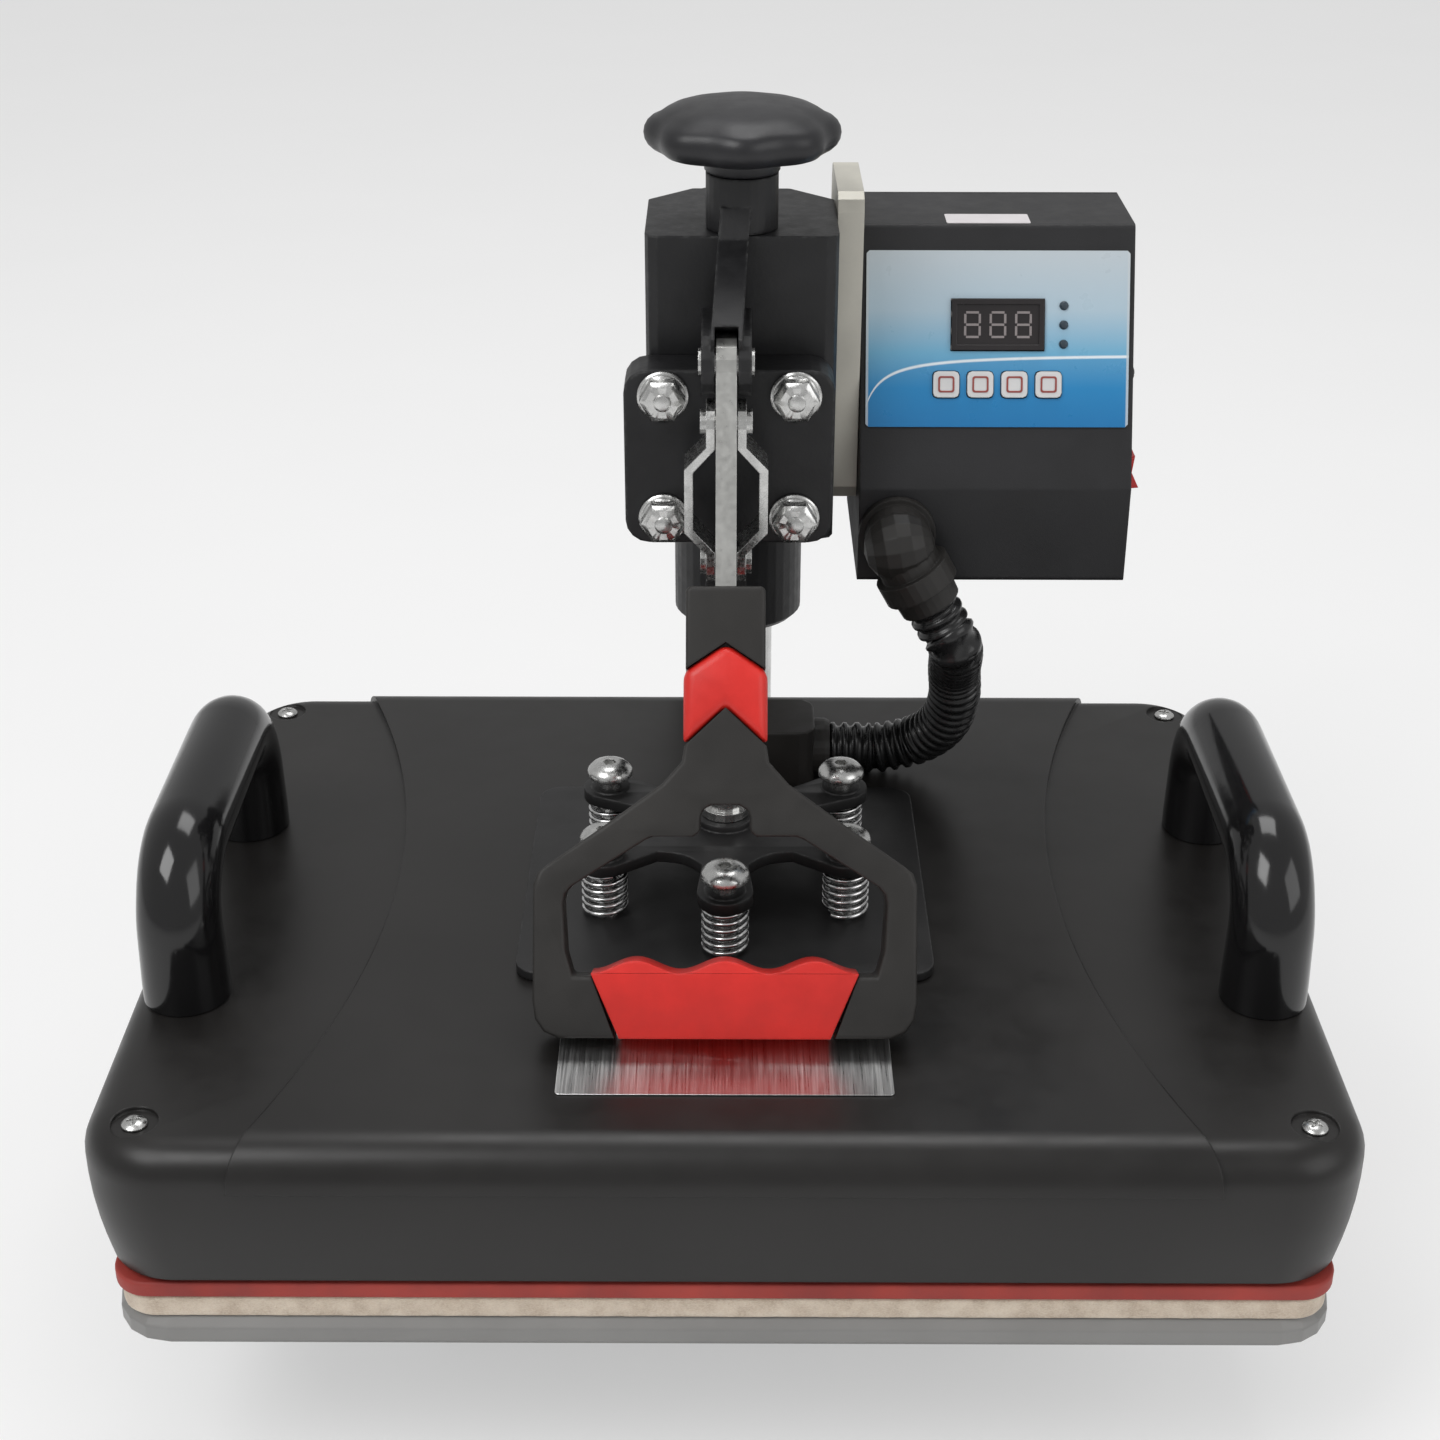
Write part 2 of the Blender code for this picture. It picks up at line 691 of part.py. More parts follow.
def join(obj, *tools):
    for index, tool in enumerate(tools):
        boolean(obj, as_cutter(tool, obj.name + "_join_" + str(index)), "UNION")
        obj = mesh_of(obj)
    return obj


def keep_common(obj, tool):
    boolean(obj, as_cutter(tool, obj.name + "_common"), "INTERSECT")
    return mesh_of(obj)


def bevel(obj, width, segments=2, angle=math.radians(35)):
    modifier = obj.modifiers.new("bevel", "BEVEL")
    modifier.width = width
    modifier.segments = segments
    modifier.limit_method = "ANGLE"
    modifier.angle_limit = angle
    return obj


def smooth(obj, angle=math.radians(32)):
    obj.data.shade_smooth()
    obj.data.set_sharp_from_angle(angle=angle)
    return obj


# Outlines


def arc(centre, radius, start, end, steps):
    """Points on an arc in degrees from start to end, both ends included."""
    points = []
    for index in range(steps + 1):
        turn = math.radians(start + (end - start) * index / steps)
        points.append((centre[0] + radius * math.cos(turn), centre[1] + radius * math.sin(turn)))
    return points


def rounded(points, radii, steps=ARC_STEPS):
    """An outline with its corners rounded. radii is one radius, or one for each corner."""
    count = len(points)
    if not hasattr(radii, "__len__"):
        radii = [radii] * count
    result = []
    for index in range(count):
        corner = Vector(points[index])
        before = (Vector(points[index - 1]) - corner).normalized()
        after = (Vector(points[(index + 1) % count]) - corner).normalized()
        radius = radii[index]
        if radius <= 0:
            result.append(tuple(corner))
            continue
        half = before.angle(after) / 2
        reach = radius / math.tan(half)
        centre = corner + (before + after).normalized() * radius / math.sin(half)
        first = corner + before * reach - centre
        last = corner + after * reach - centre
        sweep = first.angle_signed(last)
        for step in range(steps + 1):
            turn = -sweep * step / steps
            cosine = math.cos(turn)
            sine = math.sin(turn)
            arm = Vector((first.x * cosine - first.y * sine, first.x * sine + first.y * cosine))
            result.append(tuple(centre + arm))
    return result


def rectangle(left, right, low, high):
    return [(left, low), (right, low), (right, high), (left, high)]


def rounded_rectangle(half_width, half_depth, radius, steps=ARC_STEPS):
    corners = rectangle(-half_width, half_width, -half_depth, half_depth)
    return rounded(corners, radius, steps)


def at_height(outline, height):
    return [(x, y, height) for x, y in outline]


def mirrored(half):
    """Closes a half outline, given from its top to its bottom on the +X side, about X = 0."""
    other = [(-x, y) for x, y in reversed(half) if abs(x) > 0]
    return list(half) + other


# Base


def make_base():
    half_front = BASE_FRONT_WIDTH / 2
    half_back = BASE_BACK_WIDTH / 2
    corners = [
        (-half_front, BASE_FRONT),
        (half_front, BASE_FRONT),
        (half_back, BASE_BACK),
        (-half_back, BASE_BACK),
    ]
    middle = FOOT_HEIGHT + BASE_THICK / 2
    plate = prism("base", [rounded(corners, BASE_CORNER)], BASE_THICK, "XY", middle)
    bevel(plate, BASE_EDGE, 1)
    finish(plate, "base_plate", SATIN_BLACK, MACHINE)
    places = {
        "foot_front_left": (-half_front + FOOT_INSET, BASE_FRONT + FOOT_INSET),
        "foot_front_right": (half_front - FOOT_INSET, BASE_FRONT + FOOT_INSET),
        "foot_back_left": (-half_back + FOOT_INSET, BASE_BACK - FOOT_INSET),
        "foot_back_right": (half_back - FOOT_INSET, BASE_BACK - FOOT_INSET),
    }
    top = FOOT_HEIGHT - GAP
    profile = [
        (0, top),
        (FOOT_TOP_RADIUS, top),
        (FOOT_RADIUS, FOOT_CHAMFER),
        (FOOT_RADIUS - FOOT_CHAMFER, 0),
        (FOOT_RECESS_RADIUS, 0),
        (FOOT_RECESS_RADIUS, FOOT_RECESS_DEPTH),
        (0, FOOT_RECESS_DEPTH),
    ]
    for name, (x, y) in places.items():
        foot = turned(name, profile, (x, y, 0), steps=SMALL_ROUND)
        finish(smooth(foot), name, BLACK_RUBBER, MACHINE)


def make_pedestal():
    low = BASE_TOP + GAP
    high = LOWER_BOTTOM - GAP
    profile = [
        (0, high),
        (PEDESTAL_HEAD_RADIUS, high),
        (PEDESTAL_HEAD_RADIUS, high - PEDESTAL_FLANGE),
        (PEDESTAL_NECK_RADIUS + PEDESTAL_FILLET, high - PEDESTAL_FLANGE),
        (PEDESTAL_NECK_RADIUS, high - PEDESTAL_FLANGE - PEDESTAL_FILLET),
        (PEDESTAL_NECK_RADIUS, low + PEDESTAL_FLANGE + PEDESTAL_FILLET),
        (PEDESTAL_NECK_RADIUS + PEDESTAL_FILLET, low + PEDESTAL_FLANGE),
        (PEDESTAL_FOOT_RADIUS, low + PEDESTAL_FLANGE),
        (PEDESTAL_FOOT_RADIUS, low),
        (0, low),
    ]
    finish(smooth(turned("pedestal", profile)), "platen_pedestal", SATIN_BLACK, MACHINE)


def make_lower_platen():
    layers = [
        ("lower_platen", LOWER_WIDTH, LOWER_DEPTH, LOWER_CORNER, LOWER_BOTTOM, LOWER_TOP,
         LOWER_EDGE, GREY_PAINT),
        ("felt_pad", FELT_WIDTH, FELT_DEPTH, PAD_CORNER, FELT_BOTTOM, FELT_TOP,
         FELT_EDGE, CREAM_FELT),
        ("silicone_mat", MAT_WIDTH, MAT_DEPTH, PAD_CORNER, MAT_BOTTOM, MAT_TOP,
         MAT_EDGE, RED_SILICONE),
    ]
    for name, width, depth, corner, low, high, edge, material in layers:
        outline = rounded_rectangle(width / 2, depth / 2, corner)
        inner = rounded_rectangle(width / 2 - edge, depth / 2 - edge, corner - edge)
        rings = [
            at_height(inner, low),
            at_height(outline, low + edge),
            at_height(outline, high - edge),
            at_height(inner, high),
        ]
        finish(smooth(loft(name, rings)), name, material, MACHINE)


def make_column():
    low = BASE_TOP + GAP
    socket_inner = COLUMN_RADIUS + GAP
    profile = [
        (socket_inner, low + SOCKET_HEIGHT),
        (SOCKET_RADIUS, low + SOCKET_HEIGHT),
        (SOCKET_RADIUS, low + FLANGE_THICK + SOCKET_FILLET),
        (SOCKET_RADIUS + SOCKET_FILLET, low + FLANGE_THICK),
        (FLANGE_RADIUS, low + FLANGE_THICK),
        (FLANGE_RADIUS, low),
        (socket_inner, low),
    ]
    centre = (ARM_X, COLUMN_Y, 0)
    finish(smooth(turned("flange", profile, centre)), "column_flange", SATIN_BLACK, MACHINE)
    profile = [
        (0, COLUMN_TOP),
        (COLUMN_RADIUS - COLUMN_CHAMFER, COLUMN_TOP),
        (COLUMN_RADIUS, COLUMN_TOP - COLUMN_CHAMFER),
        (COLUMN_RADIUS, low),
        (0, low),
    ]
    finish(smooth(turned("post", profile, centre)), "column", STEEL, MACHINE)
    washer_low = COLUMN_TOP + GAP
    washer = ring("washer", washer_low, washer_low + WASHER_RING_THICK,
                  COLUMN_RADIUS - COLUMN_CHAMFER, WASHER_RING_BORE, centre)
    finish(smooth(washer), "thrust_washer", BRONZE, MACHINE)


# Swinging arm, head and control box


def make_arm():
    centre = (ARM_X, COLUMN_Y, 0)
    bore_top = COLUMN_TOP + GAP + WASHER_RING_THICK + GAP
    top = bore_top + SLEEVE_ROOF
    profile = [
        (0, top),
        (SLEEVE_RADIUS - SLEEVE_EDGE, top),
        (SLEEVE_RADIUS, top - SLEEVE_EDGE),
        (SLEEVE_RADIUS, SLEEVE_BOTTOM + SLEEVE_EDGE),
        (SLEEVE_RADIUS - SLEEVE_EDGE, SLEEVE_BOTTOM),
        (0, SLEEVE_BOTTOM),
    ]
    arm = turned("arm", profile, centre, steps=LARGE_ROUND)
    front = HEAD_BACK + GAP
    web_outline = [
        (front, WEB_BOTTOM),
        (COLUMN_Y, WEB_BOTTOM - (WEB_TOP - WEB_BOTTOM) / 3),
        (COLUMN_Y, WEB_TOP),
        (front, WEB_TOP),
    ]
    web = prism("web", [web_outline], WEB_WIDTH, "YZ", ARM_X)
    pad_outline = rounded(
        rectangle(ARM_X - PAD_WIDTH / 2, ARM_X + PAD_WIDTH / 2, PAD_BOTTOM, PAD_TOP), SLEEVE_EDGE, 2)
    pad = prism("pad", [pad_outline], PAD_THICK, "XZ", front + PAD_THICK / 2)
    arm = join(arm, web, pad)
    bore = rod("bore", (ARM_X, COLUMN_Y, SLEEVE_BOTTOM - OVERRUN), (ARM_X, COLUMN_Y, bore_top),
               COLUMN_RADIUS + GAP, ROUND)
    finish(smooth(cut(arm, bore)), "arm_casting", SATIN_BLACK, ARM_AXIS)


def head_outline(inset, front_inset):
    left = ARM_X - HEAD_WIDTH / 2 + inset
    right = ARM_X + HEAD_WIDTH / 2 - inset
    front = HEAD_FRONT + front_inset
    back = HEAD_BACK - inset
    chamfer = HEAD_CHAMFER - inset / 2
    points = [
        (left, front),
        (right, front),
        (right, back - chamfer),
        (right - chamfer, back),
        (left + chamfer, back),
        (left, back - chamfer),
    ]
    radii = [HEAD_FRONT_CORNER, HEAD_FRONT_CORNER, HEAD_EDGE, HEAD_EDGE, HEAD_EDGE, HEAD_EDGE]
    return rounded(points, radii, 2)


def bolt_places():
    """Each clamp bolt's name, X and height."""
    return [
        ("upper_left", BLOCK_X - BOLT_X, BOLT_TOP_Z),
        ("upper_right", BLOCK_X + BOLT_X, BOLT_TOP_Z),
        ("lower_left", BLOCK_X - BOLT_X, BOLT_LOW_Z),
        ("lower_right", BLOCK_X + BOLT_X, BOLT_LOW_Z),
    ]


def make_head():
    height = HEAD_TOP - HEAD_BOTTOM
    middle = (HEAD_TOP + HEAD_BOTTOM) / 2
    head = prism("head", [head_outline(0, 0)], height, "XY", middle)
    head = mesh_of(bevel(head, HEAD_EDGE, 1))
    roof = HEAD_TOP - HEAD_ROOF
    low = HEAD_BOTTOM - OVERRUN
    hollow = prism("hollow", [head_outline(HEAD_WALL, HEAD_FRONT_WALL)], roof - low, "XY",
                   (roof + low) / 2)
    screw_way = rod("screw_way", (ARM_X, KNOB_Y, SCREW_BOTTOM - OVERRUN),
                    (ARM_X, KNOB_Y, roof + OVERRUN), SCREW_RADIUS + GAP)
    nut_seat = rod("nut_seat", (ARM_X, KNOB_Y, roof), (ARM_X, KNOB_Y, HEAD_TOP + OVERRUN),
                   NUT_RING_RADIUS + GAP, ROUND)
    tools = [hollow, screw_way, nut_seat]
    for name, x, z in bolt_places():
        tools.append(rod(name, (x, HEAD_FRONT - OVERRUN, z), (x, HEAD_FRONT + BOLT_DEPTH + GAP, z),
                         BOLT_RADIUS + GAP))
    finish(smooth(cut(head, *tools)), "head_housing", SATIN_BLACK, ARM_AXIS)
    nut = ring("nut", roof + GAP, HEAD_TOP - GAP, NUT_RING_RADIUS, SCREW_RADIUS + GAP,
               (ARM_X, KNOB_Y))
    finish(smooth(nut), "head_nut", BRASS, ARM_AXIS)


def make_clamp_bolts():
    face = BLOCK_FRONT - GAP
    for name, x, z in bolt_places():
        washer = rod("washer", (x, face - WASHER_THICK, z), (x, face, z), WASHER_RADIUS, ROUND)
        nut_front = face - WASHER_THICK - NUT_HEIGHT
        profile = [
            (0, NUT_HEIGHT),
            (NUT_RADIUS * 0.80, NUT_HEIGHT),
            (NUT_RADIUS, NUT_HEIGHT * 0.78),
            (NUT_RADIUS, 0),
            (0, 0),
        ]
        nut = turned("nut", profile, (x, face - WASHER_THICK, z), (0, -1, 0), 6)
        shank = rod("shank", (x, nut_front - BOLT_TIP, z), (x, HEAD_FRONT + BOLT_DEPTH, z),
                    BOLT_RADIUS)
        bolt = join(washer, nut, shank)
        finish(smooth(bolt), "clamp_bolt_" + name, STEEL, ARM_AXIS)


def box_profile(inset):
    """The control box seen from its side, with its walls moved in by inset."""
    slope = math.atan2(SLOPE_RUN, SLOPE_RISE)
    return [
        (BOX_FRONT + inset, BOX_BOTTOM + inset),
        (BOX_FRONT + inset, BOX_BEND_Z - inset * math.tan(slope / 2)),
        (BOX_TOP_FRONT + inset / math.cos(slope) - inset * math.tan(slope), BOX_TOP - inset),
        (BOX_BACK, BOX_TOP - inset),
        (BOX_BACK, BOX_BOTTOM + inset),
    ]


def panel_matrix(x, up, out):
    """A place on the sloping front: x in world, up the slope from the bend, and out of it."""
    bend = Vector((x, BOX_FRONT, BOX_BEND_Z))
    place = bend + SLOPE_UP * up + SLOPE_OUT * out
    side = Vector((1, 0, 0))
    matrix = Matrix((side, SLOPE_UP, SLOPE_OUT)).transposed().to_4x4()
    matrix.translation = place
    return matrix


def key_places():
    first = BOX_MIDDLE - KEY_PITCH * (KEY_COUNT - 1) / 2
    return [first + KEY_PITCH * index for index in range(KEY_COUNT)]


def key_outline(grow):
    half = KEY_SIZE / 2 + grow
    return rounded_rectangle(half, half, KEY_CORNER, 2)


def display_outline(grow):
    return rectangle(-DISPLAY_WIDTH / 2 - grow, DISPLAY_WIDTH / 2 + grow,
                     -DISPLAY_HEIGHT / 2 - grow, DISPLAY_HEIGHT / 2 + grow)


def panel_cutters():
    depth = (BOX_WALL + OVERRUN) * 2
    tools = []
    for x in key_places():
        matrix = panel_matrix(x, KEY_MIDDLE, 0)
        tools.append(prism("key_way", [key_outline(KEY_CLEAR)], depth, matrix=matrix))
    matrix = panel_matrix(BOX_MIDDLE, DISPLAY_MIDDLE, 0)
    tools.append(prism("display_way", [display_outline(GAP)], depth, matrix=matrix))
    return tools


def make_control_box():
    shell = prism("box", [rounded(box_profile(0), [BOX_EDGE] * 3 + [0, 0], 2)],
                  BOX_WIDTH, "YZ", BOX_MIDDLE)
    hollow_profile = box_profile(BOX_WALL)
    hollow_profile[3] = (BOX_BACK + OVERRUN, hollow_profile[3][1])
    hollow_profile[4] = (BOX_BACK + OVERRUN, hollow_profile[4][1])
    hollow = prism("hollow", [hollow_profile], BOX_WIDTH - BOX_WALL * 2, "YZ", BOX_MIDDLE)
    rocker_way = box("rocker_way",
                     (BOX_RIGHT - BOX_WALL - OVERRUN, ROCKER_Y - ROCKER_BODY_DEPTH / 2 - GAP,
                      ROCKER_Z - ROCKER_BODY_HEIGHT / 2 - GAP),
                     (BOX_RIGHT + OVERRUN, ROCKER_Y + ROCKER_BODY_DEPTH / 2 + GAP,
                      ROCKER_Z + ROCKER_BODY_HEIGHT / 2 + GAP))
    shell = cut(shell, hollow, rocker_way, *panel_cutters())
    finish(shell, "control_box_shell", SATIN_BLACK, ARM_AXIS)

    low = BOX_BACK + GAP
    cover = box("back", (BOX_LEFT, low, BOX_BOTTOM),
                (BOX_RIGHT, low + BACK_COVER_THICK, BOX_TOP))
    tools = [box("inlet_way",
                 (INLET_X - INLET_WIDTH / 2 - GAP, low - OVERRUN, INLET_Z - INLET_HEIGHT / 2 - GAP),
                 (INLET_X + INLET_WIDTH / 2 + GAP, low + BACK_COVER_THICK + OVERRUN,
                  INLET_Z + INLET_HEIGHT / 2 + GAP))]
    vent_middle = (BOX_TOP + BOX_BEND_Z) / 2
    for index in range(VENT_COUNT):
        z = vent_middle + VENT_PITCH * (index - (VENT_COUNT - 1) / 2)
        tools.append(box("vent", (BOX_MIDDLE - VENT_WIDTH / 2, low - OVERRUN, z - VENT_HEIGHT / 2),
                         (BOX_MIDDLE + VENT_WIDTH / 2, low + BACK_COVER_THICK + OVERRUN,
                          z + VENT_HEIGHT / 2)))
    finish(cut(cover, *tools), "control_box_back", SATIN_BLACK, ARM_AXIS)

    outline = rounded(rectangle(BRACKET_FRONT, BRACKET_BACK, BRACKET_BOTTOM, BRACKET_TOP),
                      BRACKET_CORNER, 2)
    left = ARM_X + HEAD_WIDTH / 2 + GAP
    right = BOX_LEFT - GAP
    bracket = prism("bracket", [outline], right - left, "YZ", (left + right) / 2)
    finish(bracket, "box_bracket", CREAM_STEEL, ARM_AXIS)


def make_panel():
    middle = (OVERLAY_LOW + OVERLAY_HIGH) / 2
    outline = rounded_rectangle(OVERLAY_WIDTH / 2, (OVERLAY_HIGH - OVERLAY_LOW) / 2,
                                OVERLAY_CORNER, 1)
    holes = []
    for x in key_places():
        holes.append([(a + x - BOX_MIDDLE, b + KEY_MIDDLE - middle)
                      for a, b in key_outline(KEY_CLEAR)])
    holes.append([(a, b + DISPLAY_MIDDLE - middle) for a, b in display_outline(GAP)])
    matrix = panel_matrix(BOX_MIDDLE, middle, GAP + OVERLAY_THICK / 2)
    overlay = prism("overlay", [outline] + holes, OVERLAY_THICK, matrix=matrix)
    finish(overlay, "panel_overlay", PANEL_BLUE, ARM_AXIS)

    face = GAP + OVERLAY_THICK
    high = face + DISPLAY_PROUD
    matrix = panel_matrix(BOX_MIDDLE, DISPLAY_MIDDLE, (high - DISPLAY_DEEP) / 2)
    window = prism("window", [display_outline(0)], high + DISPLAY_DEEP, matrix=matrix)
    matrix = panel_matrix(BOX_MIDDLE, DISPLAY_MIDDLE, high)
    sunk = prism("sunk", [display_outline(-DISPLAY_RIM)], DISPLAY_SUNK * 2, matrix=matrix)
    finish(cut(window, sunk), "display_window", DISPLAY_DARK, ARM_AXIS)

    for index, x in enumerate(key_places()):
        name = "panel_key_" + str(index + 1)
        top = face + KEY_PROUD
        axis = frame_at(name + "_axis", panel_matrix(x, KEY_MIDDLE, top).translation, ARM_AXIS)
        matrix = panel_matrix(x, KEY_MIDDLE, (top - KEY_DEEP) / 2)
        key = prism(name, [key_outline(0)], top + KEY_DEEP, matrix=matrix)
        finish(key, name, KEY_WHITE, axis)


def make_rocker():
    face = BOX_RIGHT + GAP
    flange = box("flange",
                 (face, ROCKER_Y - ROCKER_FRAME_DEPTH / 2, ROCKER_Z - ROCKER_FRAME_HEIGHT / 2),
                 (face + ROCKER_FLANGE, ROCKER_Y + ROCKER_FRAME_DEPTH / 2,
                  ROCKER_Z + ROCKER_FRAME_HEIGHT / 2))
    body = box("body",
               (face - ROCKER_BODY_LENGTH, ROCKER_Y - ROCKER_BODY_DEPTH / 2,
                ROCKER_Z - ROCKER_BODY_HEIGHT / 2),
               (face + ROCKER_FLANGE / 2, ROCKER_Y + ROCKER_BODY_DEPTH / 2,
                ROCKER_Z + ROCKER_BODY_HEIGHT / 2))
    pocket_half = ROCKER_SWEEP + ROCKER_CLEAR
    pivot_x = face + ROCKER_FLANGE / 2
    pocket = box("pocket",
                 (pivot_x - pocket_half, ROCKER_Y - ROCKER_WIDTH / 2 - ROCKER_CLEAR,
                  ROCKER_Z - pocket_half),
                 (face + ROCKER_FLANGE + OVERRUN, ROCKER_Y + ROCKER_WIDTH / 2 + ROCKER_CLEAR,
                  ROCKER_Z + pocket_half))
    frame = cut(join(flange, body), pocket)
    finish(frame, "rocker_frame", MATTE_BLACK, ARM_AXIS)

    axis = frame_at("rocker_axis", (pivot_x, ROCKER_Y, ROCKER_Z), ARM_AXIS)
    horn_reach = math.sqrt(ROCKER_SWEEP ** 2 - ROCKER_HORN ** 2)
    back = arc((0, 0), ROCKER_SWEEP, 140, 220, ARC_STEPS * 2)
    local = [(ROCKER_HORN, -horn_reach), (ROCKER_WAIST, 0), (ROCKER_HORN, horn_reach)] + back
    cosine = math.cos(ROCKER_TILT)
    sine = math.sin(ROCKER_TILT)
    outline = [(pivot_x + a * cosine - b * sine, ROCKER_Z + a * sine + b * cosine)
               for a, b in local]
    rocker = prism("rocker", [outline], ROCKER_WIDTH, "XZ", ROCKER_Y)
    finish(rocker, "rocker_switch", RED_PLASTIC, axis)


def make_inlet():
    face = BOX_BACK + GAP + BACK_COVER_THICK + GAP
    flange = prism("flange", [[(a + INLET_X, b + INLET_Z) for a, b in rounded_rectangle(
        INLET_FLANGE_WIDTH / 2, INLET_FLANGE_HEIGHT / 2, INLET_CORNER, 2)]],
        INLET_FLANGE_THICK, "XZ", face + INLET_FLANGE_THICK / 2)
    body = box("body",
               (INLET_X - INLET_WIDTH / 2, face - INLET_DEPTH, INLET_Z - INLET_HEIGHT / 2),
               (INLET_X + INLET_WIDTH / 2, face + INLET_FLANGE_THICK / 2,
                INLET_Z + INLET_HEIGHT / 2))
    floor = face - INLET_DEPTH + INLET_FLOOR
    half_width = INLET_WIDTH / 2 - INLET_WALL
    half_height = INLET_HEIGHT / 2 - INLET_WALL
    well_outline = rounded(
        rectangle(INLET_X - half_width, INLET_X + half_width,
                  INLET_Z - half_height, INLET_Z + half_height),
        [INLET_CORNER / 3, INLET_CORNER / 3, INLET_CORNER, INLET_CORNER], 2)
    high = face + INLET_FLANGE_THICK + OVERRUN
    well = prism("well", [well_outline], high - floor, "XZ", (high + floor) / 2)
    inlet = cut(join(flange, body), well)
    blades = []
    for x, z in ((-BLADE_SPREAD, -BLADE_DROP), (0, BLADE_DROP), (BLADE_SPREAD, -BLADE_DROP)):
        blades.append(box("blade",
                          (INLET_X + x - BLADE_THICK / 2, floor - INLET_FLOOR / 2,
                           INLET_Z + z - BLADE_WIDTH / 2),
                          (INLET_X + x + BLADE_THICK / 2, floor + BLADE_LENGTH,
                           INLET_Z + z + BLADE_WIDTH / 2)))
    finish(join(inlet, *blades), "power_inlet", MATTE_BLACK, ARM_AXIS)


# Pressure slide: the bracket, its pin and the rod guide


def make_bracket():
    block_outline = [(x + BLOCK_X, z) for x, z in rounded(
        rectangle(-BLOCK_WIDTH / 2, BLOCK_WIDTH / 2, BLOCK_BOTTOM, BLOCK_TOP), BLOCK_CORNER)]
    slots = []
    half = BOLT_RADIUS + GAP
    for name, x, z in bolt_places():
        low = z - PRESSURE_TRAVEL
        slots.append(arc((x, z), half, 0, 180, 6) + arc((x, low), half, 180, 360, 6))
    block = prism("block", [block_outline], BLOCK_THICK, "XZ", (BLOCK_FRONT + BLOCK_BACK) / 2)
    block = mesh_of(bevel(block, BLOCK_EDGE, 1))
    slot_tools = [prism("slot", [slot], BLOCK_THICK + OVERRUN * 2, "XZ",
                        (BLOCK_FRONT + BLOCK_BACK) / 2) for slot in slots]
    block = cut(block, *slot_tools)

    collar_front = KNOB_Y - COLLAR_RADIUS
    rib_back = BLOCK_BACK
    rib_outline = [
        (-FORK_RADIUS, TOP_PIVOT_Z + FORK_RADIUS),
        (collar_front - FORK_RADIUS / 2, COLLAR_BOTTOM),
        (collar_front, COLLAR_BOTTOM + COLLAR_HEIGHT / 2),
        (KNOB_Y, COLLAR_BOTTOM + COLLAR_HEIGHT / 2),
        (KNOB_Y, COLLAR_BOTTOM),
        (rib_back, COLLAR_BOTTOM),
        (rib_back, BLOCK_TOP - BLOCK_CORNER),
        (BLOCK_FRONT + BLOCK_THICK / 3, BLOCK_TOP - BLOCK_CORNER),
        (BLOCK_FRONT - FORK_RADIUS / 2, TOP_PIVOT_Z - FORK_RADIUS),
        (0, TOP_PIVOT_Z - FORK_RADIUS),
    ]
    rib = prism("rib", [rib_outline], RIB_THICK, "YZ", 0)
    lean = ARM_X / (COLLAR_TOP - TOP_PIVOT_Z)
    for vert in rib.data.vertices:
        vert.co.x += lean * max(0, vert.co.z - TOP_PIVOT_Z - FORK_RADIUS)

    ear_half = LEVER_PLATE_THICK / 2 + FORK_SIDE + FORK_EAR
    fork_outline = [(BLOCK_FRONT + BLOCK_THICK / 3, TOP_PIVOT_Z + FORK_RADIUS)]
    fork_outline += arc((0, TOP_PIVOT_Z), FORK_RADIUS, 90, 270, 8)
    fork_outline += [(BLOCK_FRONT - FORK_RADIUS / 2, TOP_PIVOT_Z - FORK_RADIUS),
                     (BLOCK_FRONT + BLOCK_THICK / 3, BLOCK_TOP - BLOCK_CORNER)]
    fork = prism("fork", [fork_outline], ear_half * 2, "YZ", 0)
    collar = ring("collar", COLLAR_BOTTOM, COLLAR_TOP, COLLAR_RADIUS, SCREW_RADIUS + GAP,
                  (ARM_X, KNOB_Y))
    screw_way = rod("screw_way", (ARM_X, KNOB_Y, COLLAR_BOTTOM - OVERRUN),
                    (ARM_X, KNOB_Y, COLLAR_TOP + OVERRUN), SCREW_RADIUS + GAP)
    bracket = join(block, rib, fork, collar)

    slot_half = LEVER_PLATE_THICK / 2 + FORK_SIDE
    slot_back = LEVER_TOP_RADIUS + FORK_SIDE * 2
    slot_outline = arc((0, TOP_PIVOT_Z), slot_back, 0, 90, 6)
    slot_front = -FORK_RADIUS - OVERRUN
    slot_rise = -slot_front * math.tan(LEVER_LEAN)
    slot_outline += [(slot_front, TOP_PIVOT_Z + slot_back + slot_rise),
                     (slot_front, TOP_PIVOT_Z - FORK_RADIUS - OVERRUN),
                     (slot_back, TOP_PIVOT_Z - FORK_RADIUS - OVERRUN)]
    slot = prism("fork_slot", [slot_outline], slot_half * 2, "YZ", 0)
    pin_way = rod("pin_way", (-ear_half - OVERRUN, 0, TOP_PIVOT_Z),
                  (ear_half + OVERRUN, 0, TOP_PIVOT_Z), TOP_PIN_RADIUS + GAP)
    bracket = cut(bracket, slot, pin_way, screw_way)
    finish(smooth(bracket), "toggle_bracket", SATIN_BLACK, CARRIAGE)
    pin = rod("pin", (-TOP_PIN_LENGTH / 2, 0, TOP_PIVOT_Z), (TOP_PIN_LENGTH / 2, 0, TOP_PIVOT_Z),
              TOP_PIN_RADIUS)
    finish(smooth(pin), "top_pivot_pin", STEEL, CARRIAGE)


